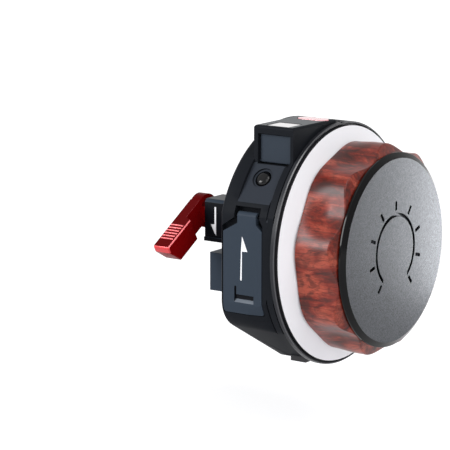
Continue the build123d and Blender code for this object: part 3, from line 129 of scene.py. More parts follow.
def addPatches(made, size, low, high):  # roughness that drifts between two values; size in mm
    tree = made.node_tree
    drift = spreadOf(tree, noiseOf(tree, (1 / (size * mm),) * 3, 3), *noiseSpan, low, high)
    tree.links.new(drift, tree.nodes["Principled BSDF"].inputs["Roughness"])


def addSpeckle(made, size, low, high):  # fine light and dark specks between two colours; size in mm
    tree = made.node_tree
    mixed = addNode(tree, "ShaderNodeMix", data_type="RGBA")
    mask = spreadOf(tree, noiseOf(tree, (1 / (size * mm),) * 3, 2), *noiseSpan, 0, 1)
    tree.links.new(mask, mixed.inputs[0])
    mixed.inputs[6].default_value = (*linear(low), 1)
    mixed.inputs[7].default_value = (*linear(high), 1)
    tree.links.new(mixed.outputs[2], tree.nodes["Principled BSDF"].inputs["Base Color"])


metals = {
    "blackAnodised": {"colour": (25, 27, 31), "roughness": 0.45, "specular": 0.02},
    "slateAnodised": {"colour": (48, 56, 66), "roughness": 0.4, "specular": 0.04},
    "notchRampHighlight": {"colour": (92, 99, 108), "roughness": 0.4, "specular": 0.1},
    "facetSheen": {"colour": (44, 48, 55), "roughness": 0.4, "specular": 0.04},
    "blockTopAndSheen": {"colour": (88, 91, 94), "roughness": 0.45, "specular": 0.08},
    "lockBlackAndNotchShade": {"colour": (12, 14, 19), "roughness": 0.3, "specular": 0.06},
    "bezelBlack": {"colour": (42, 43, 47), "roughness": 0.32, "specular": 0.08},
    "bezelEdge": {"colour": (52, 53, 58), "roughness": 0.22, "specular": 0.6},
    "capGrey": {"colour": (62, 64, 67), "roughness": 0.24, "metallic": 1},
    "capEdgeDarkReflection": {"colour": (2, 2, 3), "roughness": 0.08, "specular": 0.14},
    "plainSteel": {"colour": (200, 200, 202), "roughness": 0.28, "metallic": 1},
    "screwSteel": {"colour": (72, 72, 76), "roughness": 0.35, "metallic": 1},
    "magnetNickel": {"colour": (205, 202, 194), "roughness": 0.18, "metallic": 1},
    "contactGold": {"colour": (228, 190, 110), "roughness": 0.25, "metallic": 1},
    "redAnodised": {"colour": (118, 5, 7), "roughness": 0.32, "specular": 0.04},
    "redRibHighlight": {"colour": (224, 104, 108), "roughness": 0.3, "metallic": 0.3},
    "redNoseHighlight": {"colour": (196, 44, 50), "roughness": 0.3, "metallic": 0.2},
    "redTopShade": {"colour": (84, 4, 6), "roughness": 0.32, "specular": 0.02},
}
plastics = {
    "ringWhite": {"colour": (236, 236, 240), "roughness": 0.45},
    "glideWhite": {"colour": (225, 224, 218), "roughness": 0.5},
    "blackPlasticAndGapShade": {"colour": (34, 34, 37), "roughness": 0.5, "specular": 0.3},
    "glossBlack": {"colour": (10, 10, 12), "roughness": 0.12, "specular": 0.22},
    "recordRed": {
        "colour": (240, 158, 166), "roughness": 0.2, "coat": 1, "coatRoughness": 0.06, "coatIor": 1.6,
    },
    "windowClear": {"colour": (216, 212, 214), "roughness": 0.12, "coat": 0.8, "coatRoughness": 0.03},
    "displayGrey": {"colour": (205, 207, 210), "roughness": 0.4},
    "portGrey": {"colour": (48, 55, 64), "roughness": 0.42, "specular": 0.05},
    "boardGreen": {"colour": (24, 82, 52), "roughness": 0.35, "coat": 0.5},
    "chipBlack": {"colour": (34, 34, 36), "roughness": 0.55},
    "cellWrap": {"colour": (58, 74, 100), "roughness": 0.35, "coat": 0.4},
    "printWhite": {"colour": (226, 227, 231), "roughness": 0.5},
}
materials = {name: newMaterial(name, look) for name, look in {**metals, **plastics}.items()}
addSpeckle(materials["capGrey"], size=0.35, low=(50, 52, 55), high=(73, 75, 79))
for name in ("blackAnodised", "slateAnodised", "bezelBlack"):
    addGrain(materials[name], size=0.2, strength=0.25, depth=0.01)
addPatches(materials["redAnodised"], size=3, low=0.26, high=0.36)
addPatches(materials["ringWhite"], size=7, low=0.4, high=0.5)

woodLook = {
    "dark": (54, 15, 9), "middle": (114, 33, 20), "light": (158, 70, 52), "vein": (32, 9, 6),
    "stops": (0.36, 0.5, 0.63),  # where the streaks are dark, middle and light
    "roughness": 0.45, "specular": 0.02, "coat": 1, "coatRoughness": 0.33, "coatIor": 1.33,
    "bump": {"Strength": 0.3, "Distance": 0.03 * mm},
}
woodNoises = {  # mm along the grain and across it; detail, roughness, distortion
    "streak": ((16, 5.0), (5, 0.6, 0.8)),
    "figure": ((8, 5), (3, 0.55, 2.2)),
    "vein": ((34, 0.6), (4, 0.65, 1.2)),
    "pore": ((2.4, 0.2), (2, 0.5, 0.0)),
}
woodMasks = {  # what is laid over the streaks: colour, range of the noise, greatest share
    "figure": ("dark", (0.48, 0.62), 0.6),
    "vein": ("vein", (0.5, 0.64), 0.6),
    "pore": ("vein", (0.6, 0.7), 0.55),
}


def woodMaterial(name, look):
    made = newMaterial(name, {**look, "colour": look["middle"]})
    tree = made.node_tree
    shader = tree.nodes["Principled BSDF"]
    link = tree.links.new
    fields = {}
    for label, ((along, across), noise) in woodNoises.items():
        scale = (1 / (along * mm), 1 / (across * mm), 1 / (across * mm))
        fields[label] = noiseOf(tree, scale, *noise)
    ramp = addNode(tree, "ShaderNodeValToRGB")  # broad streaks
    first, last = ramp.color_ramp.elements
    first.position, last.position = look["stops"][0], look["stops"][2]
    first.color, last.color = (*linear(look["dark"]), 1), (*linear(look["light"]), 1)
    ramp.color_ramp.elements.new(look["stops"][1]).color = (*linear(look["middle"]), 1)
    link(fields["streak"], ramp.inputs["Fac"])
    colour = ramp.outputs["Color"]
    for label, (shade, span, share) in woodMasks.items():
        mixed = addNode(tree, "ShaderNodeMix", data_type="RGBA")
        link(spreadOf(tree, fields[label], *span, 0, share), mixed.inputs[0])
        link(colour, mixed.inputs[6])
        mixed.inputs[7].default_value = (*linear(look[shade]), 1)
        colour = mixed.outputs[2]
    link(colour, shader.inputs["Base Color"])
    bump = addNode(tree, "ShaderNodeBump", look["bump"], invert=True)
    link(fields["pore"], bump.inputs["Height"])
    link(bump.outputs["Normal"], shader.inputs["Normal"])
    return made


materials["oiledWood"] = woodMaterial("oiledWood", woodLook)
slotMaterials = {
    "black_anodised": "blackAnodised", "bezel_black": "bezelBlack", "cap_black": "capGrey",
    "ring_white": "ringWhite", "oiled_wood": "oiledWood", "red_anodised": "redAnodised",
    "plain_steel": "plainSteel", "screw_steel": "screwSteel", "black_plastic": "blackPlasticAndGapShade",
    "gloss_black": "glossBlack", "record_red": "recordRed", "window_clear": "windowClear",
    "display_grey": "displayGrey", "board_green": "boardGreen", "chip_black": "chipBlack",
    "magnet_nickel": "magnetNickel", "contact_gold": "contactGold", "cell_wrap": "cellWrap",
    "glide_white": "glideWhite", "port_grey": "portGrey",
}
ownFinish = {  # nodes that look other than their slot
    "door_pin": "lockBlackAndNotchShade", "index_mark": "lockBlackAndNotchShade", "clamp_body": "lockBlackAndNotchShade",
    "battery_door": "slateAnodised", "moving_jaw": "slateAnodised",
}


def finishOf(nodeName):
    return materials[ownFinish.get(nodeName, slotMaterials[slotOf[nodeName]])]


for nodeName, cadObject in cadNodes.items():
    cadObject.data.materials.clear()
    cadObject.data.materials.append(finishOf(nodeName))
print("materials ready:", len(materials))


# Pieces
def place(piece, nodeName, replaced=True):  # gives a finished piece its body and hides the CAD node it replaces
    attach(piece, bodyOf[nodeName])
    if replaced:
        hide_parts(nodeName)


def newPiece(name, mesh):
    piece = bpy.data.objects.new(name, mesh)
    bpy.context.scene.collection.objects.link(piece)
    return piece


def smoothByAngle(mesh, degrees):
    mesh.polygons.foreach_set("use_smooth", [True] * len(mesh.polygons))
    mesh.set_sharp_from_angle(angle=math.radians(degrees))


def bakedMesh(piece):  # the evaluated object as a plain mesh, modifiers gone
    bpy.context.view_layer.update()
    graph = bpy.context.evaluated_depsgraph_get()
    mesh = bpy.data.meshes.new_from_object(piece.evaluated_get(graph))
    piece.modifiers.clear()
    old = piece.data
    piece.data = mesh
    bpy.data.meshes.remove(old)


def mergedCopy(nodeName):
    mesh = cadNodes[nodeName].data.copy()
    work = bmesh.new()
    work.from_mesh(mesh)
    bmesh.ops.remove_doubles(work, verts=work.verts, dist=0.0005 * mm)
    return mesh, work


def keepFlat(mesh, area=0.8, least=0.3, most=12):  # large faces with no gentle turn beside them; mm2, degrees
    work = bmesh.new()
    work.from_mesh(mesh)
    for face in work.faces:
        turns = [math.degrees(edge.calc_face_angle(0)) for edge in face.edges]
        if face.calc_area() > area * mm * mm and not any(least < turn < most for turn in turns):
            face.smooth = False
    work.to_mesh(mesh)
    work.free()


def dressedCopy(nodeName, name, bevel, angle=30, flat=0.4):  # CAD solid, edges eased; mm and degrees
    mesh, work = mergedCopy(nodeName)
    bmesh.ops.dissolve_limit(work, angle_limit=math.radians(flat), verts=work.verts, edges=work.edges)
    work.to_mesh(mesh)
    work.free()
    piece = newPiece(name, mesh)
    smoothByAngle(mesh, angle)
    rounding = piece.modifiers.new("rounding", "BEVEL")
    rounding.width = bevel * mm
    rounding.segments = 2
    rounding.limit_method = "ANGLE"
    rounding.angle_limit = math.radians(angle)
    rounding.harden_normals = True
    bakedMesh(piece)
    keepFlat(piece.data)
    place(piece, nodeName)
    return piece


def paintFaces(piece, finish, wanted):  # a second finish on the faces that a test picks
    piece.data.materials.append(materials[finish])
    index = len(piece.data.materials) - 1
    for face in piece.data.polygons:
        if wanted(face.center / mm, face.normal):
            face.material_index = index


dressed = {  # CAD node: (piece, edge rounding in mm)
    "rear_housing": ("rearHousing", 0.16),
    "front_bezel": ("frontBezel", 0.06),
    "marking_ring": ("markingRing", 0.12),
    "wheel_cap": ("wheelCap", 0.15),
    "battery_door": ("batteryDoor", 0.12),
    "clamp_body": ("clampBody", 0.15),
    "moving_jaw": ("movingJaw", 0.15),
    "mount_plate": ("mountPlate", 0.3),
    "port_cover": ("portCover", 0.12),
    "record_button": ("recordButton", 0.1),
    "display_window": ("displayWindow", 0.08),
    "cal_button": ("calButton", 0.06),
    "index_mark": ("indexMark", 0.05),
    "lock_lever": ("lockLever", 0.2),
    "power_slider": ("powerSlider", 0.12),
}
pieces = {}
for nodeName, (pieceName, rounding) in dressed.items():
    pieces[nodeName] = dressedCopy(nodeName, pieceName, rounding)
    print("dressed", pieceName)

capFinish = {  # mm; the bevel from edge to outside is drawn from widened to grown, the disc further forward
    "edge": 26.2, "widened": 27.1, "outside": 28.0, "grown": 28.7, "slack": 0.3,
    "front": 49.25, "rim": 50.0, "forward": 0.5,
}
for vert in pieces["wheel_cap"].data.vertices:
    reach, wasAt = math.hypot(vert.co.y, vert.co.z) / mm, vert.co.x / mm
    if wasAt > capFinish["front"] and reach > capFinish["edge"] - capFinish["slack"]:
        share = min(1, (reach - capFinish["edge"]) / (capFinish["outside"] - capFinish["edge"]))
        wanted = capFinish["widened"] + share * (capFinish["grown"] - capFinish["widened"])
        vert.co.y, vert.co.z = vert.co.y * wanted / reach, vert.co.z * wanted / reach
    if wasAt > capFinish["rim"]:
        vert.co.x += capFinish["forward"] * mm
# painted reflection: the cap's side wall and bevel are painted near black all round, standing for the dark
# surroundings they reflect
paintFaces(
    pieces["wheel_cap"], "capEdgeDarkReflection",
    lambda spot, normal: math.hypot(spot.y, spot.z) > capFinish["widened"] and spot.x > capFinish["front"],
)

blockTopAndSheen = {"high": 36.2, "flat": 0.97, "sideways": 0.2, "lift": 0.4}
# painted sheen: the block's upward faces are a lighter grey, standing for the sky they reflect
paintFaces(
    pieces["rear_housing"], "blockTopAndSheen",
    lambda spot, normal: spot.z > blockTopAndSheen["high"] and normal.z > blockTopAndSheen["flat"]
    and abs(normal.x) < blockTopAndSheen["sideways"],
)
facet = {"up": 0.3, "left": -0.6, "sideways": 0.05, "inner": 30, "outer": 35.8}
# painted sheen: the calibration facet is a lighter grey than the housing, standing for the light it catches
paintFaces(
    pieces["rear_housing"], "facetSheen",
    lambda spot, normal: normal.z > facet["up"] and normal.y < facet["left"]
    and abs(normal.x) < facet["sideways"]
    and facet["inner"] < spot.y * normal.y + spot.z * normal.z < facet["outer"],
)
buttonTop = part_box("record_button")[1][2]
for vert in pieces["record_button"].data.vertices:  # the button stands a little higher than in the CAD solid
    if vert.co.z > buttonTop - blockTopAndSheen["lift"] * mm:
        vert.co.z += blockTopAndSheen["lift"] * mm

bezelFinish = {"radius": 35.7, "front": 30.9, "least": 0.25, "most": 0.97}
paintFaces(
    pieces["front_bezel"], "bezelEdge",
    lambda spot, normal: math.hypot(spot.y, spot.z) > bezelFinish["radius"] and spot.x > bezelFinish["front"]
    and bezelFinish["least"] < abs(normal.x) < bezelFinish["most"],
)
ringGapShade = {"radius": 34.2, "front": 33.2}  # painted shade: the ring's outer rim is painted black for the dark gap beside the bezel
paintFaces(
    pieces["marking_ring"], "blackPlasticAndGapShade",
    lambda spot, normal: math.hypot(spot.y, spot.z) > ringGapShade["radius"] and spot.x < ringGapShade["front"],
)
notch = {"left": 17.3, "right": 24.2, "low": -13.7, "high": -9.3, "outer": -34.08, "inner": -33.3, "up": 0.3}
for finish, isRamp in (("lockBlackAndNotchShade", False), ("notchRampHighlight", True)):  # painted shade: black walls and floor; painted highlight: a lighter ramp
    paintFaces(
        pieces["battery_door"], finish,
        lambda spot, normal: notch["left"] < spot.x < notch["right"] and notch["low"] < spot.z < notch["high"]
        and notch["outer"] < spot.y < notch["inner"] and (normal.z > notch["up"]) == isRamp,
    )
clampSlant = 0.3  # the clamp's slanted faces share the door's finish
paintFaces(
    pieces["clamp_body"], "slateAnodised",
    lambda spot, normal: abs(normal.z) > clampSlant and abs(normal.y) > clampSlant,
)
print("finishes painted")


# Geometry Nodes
def newTree(name, sizes):  # a node group with named inputs, a mesh in and a mesh out
    tree = bpy.data.node_groups.new(name, "GeometryNodeTree")
    tree.interface.new_socket("Geometry", in_out="INPUT", socket_type="NodeSocketGeometry")
    for label, value in sizes.items():
        kind = {int: "NodeSocketInt", float: "NodeSocketFloat", tuple: "NodeSocketVector"}[type(value)]
        tree.interface.new_socket(label, in_out="INPUT", socket_type=kind).default_value = value
    tree.interface.new_socket("Finish", in_out="INPUT", socket_type="NodeSocketMaterial")
    tree.interface.new_socket("Geometry", in_out="OUTPUT", socket_type="NodeSocketGeometry")
    return tree, addNode(tree, "NodeGroupInput").outputs, addNode(tree, "NodeGroupOutput").inputs


def endTree(tree, shape, given, result):  # every tree ends in Realize Instances and Set Material
    realize = addNode(tree, "GeometryNodeRealizeInstances")
    finish = addNode(tree, "GeometryNodeSetMaterial")
    tree.links.new(shape, realize.inputs["Geometry"])
    tree.links.new(realize.outputs["Geometry"], finish.inputs["Geometry"])
    tree.links.new(given["Finish"], finish.inputs["Material"])
    tree.links.new(finish.outputs["Geometry"], result["Geometry"])


def grownPiece(name, tree, sizes, finish, angle, spots=((0, 0, 0),)):
    mesh = bpy.data.meshes.new(name)
    mesh.from_pydata([tuple(spot) for spot in spots], [], [])
    piece = newPiece(name, mesh)
    grow = piece.modifiers.new("grow", "NODES")
    grow.node_group = tree
    for item in tree.interface.items_tree:
        if item.in_out == "INPUT" and item.name in sizes:
            grow[item.identifier] = sizes[item.name]
        elif item.in_out == "INPUT" and item.name == "Finish":
            grow[item.identifier] = materials[finish]
    bakedMesh(piece)
    work = bmesh.new()
    work.from_mesh(piece.data)
    bmesh.ops.remove_doubles(work, verts=work.verts, dist=0.001 * mm)
    bmesh.ops.recalc_face_normals(work, faces=work.faces)
    work.to_mesh(piece.data)
    work.free()
    smoothByAngle(piece.data, angle)
    print("grown", name, len(piece.data.polygons), "faces")
    return piece


def vectorOf(tree, x, y, z):
    joined = addNode(tree, "ShaderNodeCombineXYZ")
    for number, term in enumerate((x, y, z)):
        feed(tree, joined.inputs[number], term)
    return joined.outputs[0]


# Wooden grip: soft lobes that grow out of a nearly round foot and are cut by a cone at the cap
gripLook = {  # mm and degrees
    "bore": 20.05, "crest": 31.4, "flute": 1.4, "footShare": 0.3, "fadeLength": 8.0, "footDrop": 0.8,
    "lobes": 9, "start": 92, "endRadius": 28.6, "endSlope": 1.7, "blend": 0.2,
    "around": 720, "rows": 72,
}
gripLow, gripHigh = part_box("wood_grip")


def gripTree():
    tree, given, result = newTree("lobedGrip", {
        "Back": 0.0, "Length": 0.01, "Bore": 0.01, "Crest": 0.02, "Flute": 0.001, "Foot Drop": 0.0,
        "Foot Share": 0.5, "Fade Length": 0.01, "Lobes": 9, "Start": 0.0, "End Radius": 0.02,
        "End Slope": 1.0, "Blend": 0.001, "Around": 64, "Rows": 16,
    })
    link = tree.links.new
    sheet = addNode(tree, "GeometryNodeMeshGrid", {"Size X": 1.0, "Size Y": 1.0})
    link(calc(tree, "ADD", given["Around"], 1), sheet.inputs["Vertices X"])
    link(given["Rows"], sheet.inputs["Vertices Y"])
    split = addNode(tree, "ShaderNodeSeparateXYZ")
    link(addNode(tree, "GeometryNodeInputPosition").outputs["Position"], split.inputs[0])
    turn = calc(tree, "MULTIPLY", calc(tree, "ADD", split.outputs["X"], 0.5), 2 * math.pi)
    last = calc(tree, "SUBTRACT", given["Rows"], 1)
    row = calc(tree, "MULTIPLY", calc(tree, "ADD", split.outputs["Y"], 0.5), last)

    def stepAt(start, width=1):  # climbs from 0 to 1 over some rows
        rise = addNode(tree, "ShaderNodeMapRange")
        link(row, rise.inputs["Value"])
        feed(tree, rise.inputs["From Min"], start)
        link(calc(tree, "ADD", start, width), rise.inputs["From Max"])
        return rise.outputs["Result"]

    # row 0 is the bore at the back, then the outside, then the bore in front and at the back again
    out = calc(tree, "SUBTRACT", stepAt(0), stepAt(calc(tree, "SUBTRACT", last, 2)))
    forward = stepAt(1, calc(tree, "SUBTRACT", last, 3))
    backAgain = stepAt(calc(tree, "SUBTRACT", last, 1))
    along = calc(tree, "MULTIPLY", forward, calc(tree, "SUBTRACT", 1, backAgain))
    reach = calc(tree, "MULTIPLY", along, given["Length"])
    fade = addNode(tree, "ShaderNodeMapRange", interpolation_type="SMOOTHSTEP")
    link(reach, fade.inputs["Value"])
    link(given["Fade Length"], fade.inputs["From Max"])
    link(given["Foot Share"], fade.inputs["To Min"])
    phase = calc(tree, "MULTIPLY", calc(tree, "SUBTRACT", turn, given["Start"]), given["Lobes"])
    dip = calc(tree, "SUBTRACT", 1, calc(tree, "COSINE", phase))
    hollow = calc(tree, "MULTIPLY", dip, calc(tree, "MULTIPLY", given["Flute"], fade.outputs["Result"]))
    drawnIn = calc(tree, "MULTIPLY", calc(tree, "SUBTRACT", 1, fade.outputs["Result"]), given["Foot Drop"])
    lobed = calc(tree, "SUBTRACT", calc(tree, "SUBTRACT", given["Crest"], drawnIn), hollow)
    left = calc(tree, "MULTIPLY", calc(tree, "SUBTRACT", given["Length"], reach), given["End Slope"])
    outer = calc(tree, "SMOOTH_MIN", lobed, calc(tree, "ADD", given["End Radius"], left), given["Blend"])
    wall = calc(tree, "SUBTRACT", outer, given["Bore"])
    radius = calc(tree, "ADD", given["Bore"], calc(tree, "MULTIPLY", wall, out))
    moved = addNode(tree, "GeometryNodeSetPosition")
    link(sheet.outputs["Mesh"], moved.inputs["Geometry"])
    link(vectorOf(
        tree, calc(tree, "ADD", given["Back"], reach),
        calc(tree, "MULTIPLY", radius, calc(tree, "COSINE", turn)),
        calc(tree, "MULTIPLY", radius, calc(tree, "SINE", turn)),
    ), moved.inputs["Position"])
    merge = addNode(tree, "GeometryNodeMergeByDistance", {"Distance": 0.002 * mm})
    link(moved.outputs["Geometry"], merge.inputs["Geometry"])
    endTree(tree, merge.outputs["Geometry"], given, result)
    return tree


grip = grownPiece("woodGrip", gripTree(), {
    "Back": gripLow[0], "Length": gripHigh[0] - gripLow[0], "Bore": gripLook["bore"] * mm,
    "Crest": gripLook["crest"] * mm, "Flute": gripLook["flute"] * mm,
    "Foot Drop": gripLook["footDrop"] * mm, "Foot Share": gripLook["footShare"],
    "Fade Length": gripLook["fadeLength"] * mm, "Lobes": gripLook["lobes"],
    "Start": math.radians(gripLook["start"]), "End Radius": gripLook["endRadius"] * mm,
    "End Slope": gripLook["endSlope"], "Blend": gripLook["blend"] * mm,
    "Around": gripLook["around"], "Rows": gripLook["rows"],
}, finish="oiledWood", angle=50)
place(grip, "wood_grip")

# Finger ribs across the lever's top
ribLook = {  # mm and degrees
    "count": 6, "first": 13.32, "spacing": 1.2, "radius": 0.27, "back": -8.1, "length": 4.5,
    "hub": (-16.0, 8.2), "top": 5.2, "arm": 210.9, "sides": 20,
}


def ribTree():
    tree, given, result = newTree("ribRow", {
        "Count": 2, "Start": (0.0, 0.0, 0.0), "Step": (0.0, 0.0, 0.0),
        "Radius": 0.001, "Length": 0.01, "Sides": 12,
    })
    link = tree.links.new
    row = addNode(tree, "GeometryNodeMeshLine")
    link(given["Count"], row.inputs["Count"])
    link(given["Start"], row.inputs["Start Location"])
    link(given["Step"], row.inputs["Offset"])
    bar = addNode(tree, "GeometryNodeMeshCylinder")
    link(given["Sides"], bar.inputs["Vertices"])
    link(given["Radius"], bar.inputs["Radius"])
    link(given["Length"], bar.inputs["Depth"])
    spread = addNode(tree, "GeometryNodeInstanceOnPoints", {"Rotation": (0, math.pi / 2, 0)})
    link(row.outputs["Mesh"], spread.inputs["Points"])
    link(bar.outputs["Mesh"], spread.inputs["Instance"])
    endTree(tree, spread.outputs["Instances"], given, result)
    return tree


armTurn = math.radians(ribLook["arm"])
armWay = Vector((0, math.cos(armTurn), math.sin(armTurn)))
armUp = Vector((0, math.sin(armTurn), -math.cos(armTurn)))
ribStart = Vector((ribLook["back"] + ribLook["length"] / 2, *ribLook["hub"]))
ribStart += armWay * ribLook["first"] + armUp * ribLook["top"]
# painted highlight: the ribs are a pale pink standing for the light they catch
ribs = grownPiece("leverRibs", ribTree(), {
    "Count": ribLook["count"], "Start": tuple(ribStart * mm), "Step": tuple(armWay * ribLook["spacing"] * mm),
    "Radius": ribLook["radius"] * mm, "Length": ribLook["length"] * mm, "Sides": ribLook["sides"],
}, finish="redRibHighlight", angle=40)
place(ribs, "lock_lever", replaced=False)

leverPaintedLight = {  # painted shadow on the arm's top, painted highlights on its ridge and nose; least share of a normal that points up, along the arm or aside; reach in mm from the hub
    "top": 0.85, "nose": 0.5, "side": 0.3, "corner": 0.3, "reach": 5.0,
}
hubSpot = Vector((0, *ribLook["hub"]))


def isOnArm(spot):
    return (spot - hubSpot).dot(armWay) > leverPaintedLight["reach"]


# painted shadow: the arm's upward faces are a darker red
paintFaces(pieces["lock_lever"], "redTopShade", lambda spot, normal: normal.dot(armUp) > leverPaintedLight["top"])
# painted highlight: the ridge between top and side is a pale pink
paintFaces(
    pieces["lock_lever"], "redRibHighlight",
    lambda spot, normal: normal.x > leverPaintedLight["side"] and normal.dot(armUp) > leverPaintedLight["corner"]
    and isOnArm(spot),
)
# painted highlight: the nose is a lighter red
paintFaces(
    pieces["lock_lever"], "redNoseHighlight",
    lambda spot, normal: normal.dot(armWay) > leverPaintedLight["nose"] and normal.dot(armUp) > 0
    and isOnArm(spot),
)

# Socket screws, one tree for the three sets; a node's screws stand where its solids are
screwSets = {"housing_screws": "housingScrews", "plate_screws": "plateScrews", "clamp_screws": "clampScrews"}
screwLook = {  # mm, then shares of the head
    "headRadius": 1.9, "headHeight": 1.2, "shankRadius": 1.0,
    "driveShare": 0.55, "depthShare": 0.6, "edgeShare": 0.12, "sides": 36, "driveSides": 6,
}


def screwTree():
    tree, given, result = newTree("socketScrew", {
        "Head Radius": 0.002, "Head Height": 0.001, "Shank Radius": 0.001, "Shank Length": 0.003,
        "Drive Radius": 0.001, "Drive Depth": 0.001, "Edge": 0.0001, "Sides": 32,
    })
    link = tree.links.new

    def raised(shape, height):  # moved along +Z
        move = addNode(tree, "GeometryNodeTransform")
        link(vectorOf(tree, 0, 0, height), move.inputs["Translation"])
        link(shape.outputs["Mesh"], move.inputs["Geometry"])
        return move.outputs["Geometry"]

    def barrel(radius, depth, start, sides):
        drum = addNode(tree, "GeometryNodeMeshCylinder")
        feed(tree, drum.inputs["Vertices"], sides)
        link(radius, drum.inputs["Radius"])
        link(depth, drum.inputs["Depth"])
        return raised(drum, calc(tree, "ADD", start, calc(tree, "MULTIPLY", depth, 0.5)))

    top = addNode(tree, "GeometryNodeMeshCone")
    link(given["Sides"], top.inputs["Vertices"])
    link(given["Head Radius"], top.inputs["Radius Top"])
    link(calc(tree, "SUBTRACT", given["Head Radius"], given["Edge"]), top.inputs["Radius Bottom"])
    link(given["Edge"], top.inputs["Depth"])
    headBody = calc(tree, "SUBTRACT", given["Head Height"], given["Edge"])
    joined = addNode(tree, "GeometryNodeMeshBoolean", operation="UNION", solver="EXACT")
    for shape in (
        raised(top, 0),
        barrel(given["Head Radius"], headBody, given["Edge"], given["Sides"]),
        barrel(given["Shank Radius"], given["Shank Length"], given["Head Height"], given["Sides"]),
    ):
        link(shape, joined.inputs["Mesh 2"])
    deep = calc(tree, "MULTIPLY", given["Drive Depth"], 2)
    above = calc(tree, "MULTIPLY", given["Drive Depth"], -1)
    cut = addNode(tree, "GeometryNodeMeshBoolean", operation="DIFFERENCE", solver="EXACT")
    link(joined.outputs["Mesh"], cut.inputs["Mesh 1"])
    link(barrel(given["Drive Radius"], deep, above, screwLook["driveSides"]), cut.inputs["Mesh 2"])
    spread = addNode(tree, "GeometryNodeInstanceOnPoints", {"Rotation": (0, math.pi / 2, 0)})
    points = addNode(tree, "GeometryNodeMeshToPoints")
    link(given["Geometry"], points.inputs["Mesh"])
    link(points.outputs["Points"], spread.inputs["Points"])
    link(cut.outputs["Mesh"], spread.inputs["Instance"])
    endTree(tree, spread.outputs["Instances"], given, result)
    return tree


def solidBoxes(nodeName):  # corners of each separate solid of a CAD node, in a fixed order
    mesh, work = mergedCopy(nodeName)
    left, boxes = set(work.verts), []
    while left:
        group, edge = set(), [left.pop()]
        while edge:
            vert = edge.pop()
            group.add(vert)
            edge += [e.other_vert(vert) for e in vert.link_edges if e.other_vert(vert) in left]
            left.difference_update(edge)
        spots = [vert.co for vert in group]
        boxes.append([Vector(pick(s[i] for s in spots) for i in range(3)) for pick in (min, max)])
    work.free()
    bpy.data.meshes.remove(mesh)
    return sorted(boxes, key=lambda box: tuple(box[0]))


screws = screwTree()
headRadius, headHeight = screwLook["headRadius"] * mm, screwLook["headHeight"] * mm
for nodeName, name in screwSets.items():
    boxes = solidBoxes(nodeName)
    spots = [(low.x, (low.y + high.y) / 2, (low.z + high.z) / 2) for low, high in boxes]
    place(grownPiece(name, screws, {
        "Head Radius": headRadius, "Head Height": headHeight, "Shank Radius": screwLook["shankRadius"] * mm,
        "Shank Length": boxes[0][1].x - boxes[0][0].x - headHeight,
        "Drive Radius": headRadius * screwLook["driveShare"],
        "Drive Depth": headHeight * screwLook["depthShare"],
        "Edge": headRadius * screwLook["edgeShare"], "Sides": screwLook["sides"],
    }, finish="screwSteel", angle=30, spots=spots), nodeName)


# Printed half arrows, a plain pictogram on the door and on the lock block
def printedPiece(name, nodeName, face, outlines, thick=0.03):  # outlines in X and Z, raised towards -Y
    corners, faces = [], []
    for outline in outlines:
        first, count = len(corners), len(outline)
        low, high = range(first, first + count), range(first + count, first + 2 * count)
        corners += [(x * mm, y * mm, z * mm) for y in (face, face - thick) for x, z in outline]
        faces += [tuple(low), tuple(high)]
        faces += [(low[i - 1], low[i], high[i], high[i - 1]) for i in range(count)]
    mesh = bpy.data.meshes.new(name)
    mesh.from_pydata(corners, [], faces)
    work = bmesh.new()
    work.from_mesh(mesh)
    bmesh.ops.recalc_face_normals(work, faces=work.faces)
    work.to_mesh(mesh)
    work.free()
    mesh.materials.append(materials["printWhite"])
    place(newPiece(name, mesh), nodeName, replaced=False)


arrows = {  # piece: CAD node, Y of the printed face, outlines in X and Z; mm
    "doorArrow": ("battery_door", -34.1, [
        [(19.72, 1.75), (21.95, 1.85), (20.1, 6.2)],
        [(19.5, -6.75), (19.98, -6.75), (20.08, 1.76), (19.72, 1.75)],
    ]),
    "lockArrow": ("clamp_body", -20.0, [
        [(0.36, 10.45), (0.93, 10.45), (0.93, 1.9), (0.36, 2.6)],
        [(-0.97, 5.1), (0.36, 5.25), (0.36, 2.6)],
    ]),
}
for name, (nodeName, face, outlines) in arrows.items():
    printedPiece(name, nodeName, face, outlines)
print("printed arrows")


# Stage: camera, floor, light
view = {
    "azimuth": 35.26, "elevation": 11.17, "distance": 662.65,
    "aside": -35.1, "above": 5.4, "target": (33, 0, 0), "lens": 179.2, "sensor": 36, "clip": (0.01, 20),
}
azimuth, elevation = math.radians(view["azimuth"]), math.radians(view["elevation"])
level = math.cos(elevation)
away = Vector((math.sin(azimuth) * level, -math.cos(azimuth) * level, math.sin(elevation)))
aside = Vector((math.cos(azimuth), math.sin(azimuth), 0))
above = away.cross(aside)
cameraData = bpy.data.cameras.new("camera")
camera = bpy.data.objects.new("camera", cameraData)
bpy.context.scene.collection.objects.link(camera)
spot = Vector(view["target"]) + away * view["distance"] + aside * view["aside"] + above * view["above"]
camera.matrix_world = Matrix.Translation(spot * mm) @ Matrix((aside, above, away)).transposed().to_4x4()
cameraData.lens = view["lens"]
cameraData.sensor_width = view["sensor"]
cameraData.clip_start, cameraData.clip_end = view["clip"]
bpy.context.scene.camera = camera
bpy.context.scene.view_settings.view_transform = "Standard"


def seenWhite(tree):  # 1 for rays that show the background: camera, glossy and transmission
    path = addNode(tree, "ShaderNodeLightPath")
    either = calc(tree, "MAXIMUM", path.outputs["Is Camera Ray"], path.outputs["Is Glossy Ray"])
    return calc(tree, "MAXIMUM", either, path.outputs["Is Transmission Ray"])


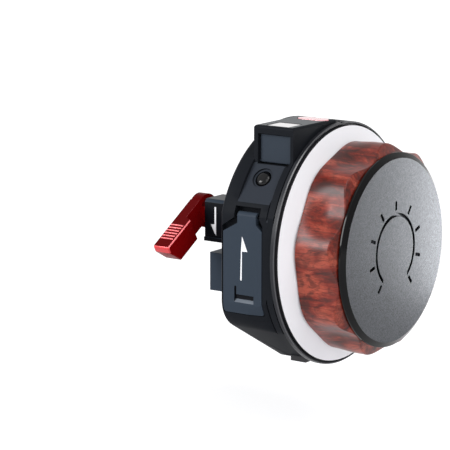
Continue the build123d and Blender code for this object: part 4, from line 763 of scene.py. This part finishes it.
floorLook = {  # near and far: mm from the middle, how much of the white is added there
    "drop": -60, "half": 3000, "colour": (236, 236, 238), "near": (150, 0.4), "far": (900, 1.0),
}
floorMesh = bpy.data.meshes.new("floor")
half, drop = floorLook["half"] * mm, floorLook["drop"] * mm
corners = [(-half, -half, drop), (half, -half, drop), (half, half, drop), (-half, half, drop)]
floorMesh.from_pydata(corners, [], [(0, 1, 2, 3)])
floor = newPiece("floor", floorMesh)
floorPale = newMaterial("floorPale", {"colour": floorLook["colour"], "roughness": 0.9, "specular": 0.1})
floorShader = floorPale.node_tree.nodes["Principled BSDF"]
floorShader.inputs["Emission Color"].default_value = (1, 1, 1, 1)
floorTree = floorPale.node_tree
distance = addNode(floorTree, "ShaderNodeVectorMath", operation="LENGTH")
floorTree.links.new(objectCoords(floorTree, (1, 1, 1)), distance.inputs[0])
(nearest, nearLift), (farthest, farLift) = floorLook["near"], floorLook["far"]
rise = spreadOf(floorTree, distance.outputs["Value"], nearest * mm, farthest * mm, nearLift, farLift)
lift = calc(floorTree, "MULTIPLY", seenWhite(floorTree), rise)
floorTree.links.new(lift, floorShader.inputs["Emission Strength"])
floorMesh.materials.append(floorPale)

worldLook = {"ambient": 0.3, "seen": 1.0}
world = bpy.data.worlds.new("studio")
bpy.context.scene.world = world
world.use_nodes = True
background = world.node_tree.nodes["Background"]
background.inputs["Color"].default_value = (1, 1, 1, 1)
worldTree = world.node_tree
strength = spreadOf(worldTree, seenWhite(worldTree), 0, 1, worldLook["ambient"], worldLook["seen"])
worldTree.links.new(strength, background.inputs["Strength"])

lamps = {  # name: (place, target, width, height, power), mm and watts
    "leftPanel": ((-430, -620, 330), (40, 0, 0), 300, 420, 5.8),
    "frontFill": ((620, -520, 420), (40, 0, 0), 600, 600, 2.7),
    "topSoft": ((480, -70, 580), (40, 0, 0), 360, 360, 2.0),
    "capSheen": ((125, 175, -2), (50, 69, 24), 24, 110, 0.115),
}
for name, (standing, target, width, height, power) in lamps.items():
    lampData = bpy.data.lights.new(name, "AREA")
    lampData.shape = "RECTANGLE"
    lampData.size, lampData.size_y = width * mm, height * mm
    lampData.energy = power
    lamp = bpy.data.objects.new(name, lampData)
    bpy.context.scene.collection.objects.link(lamp)
    lamp.location = Vector(standing) * mm
    lamp.rotation_euler = (Vector(target) - Vector(standing)).to_track_quat("-Z", "Y").to_euler()
    lamp.visible_camera = False
print("stage ready")
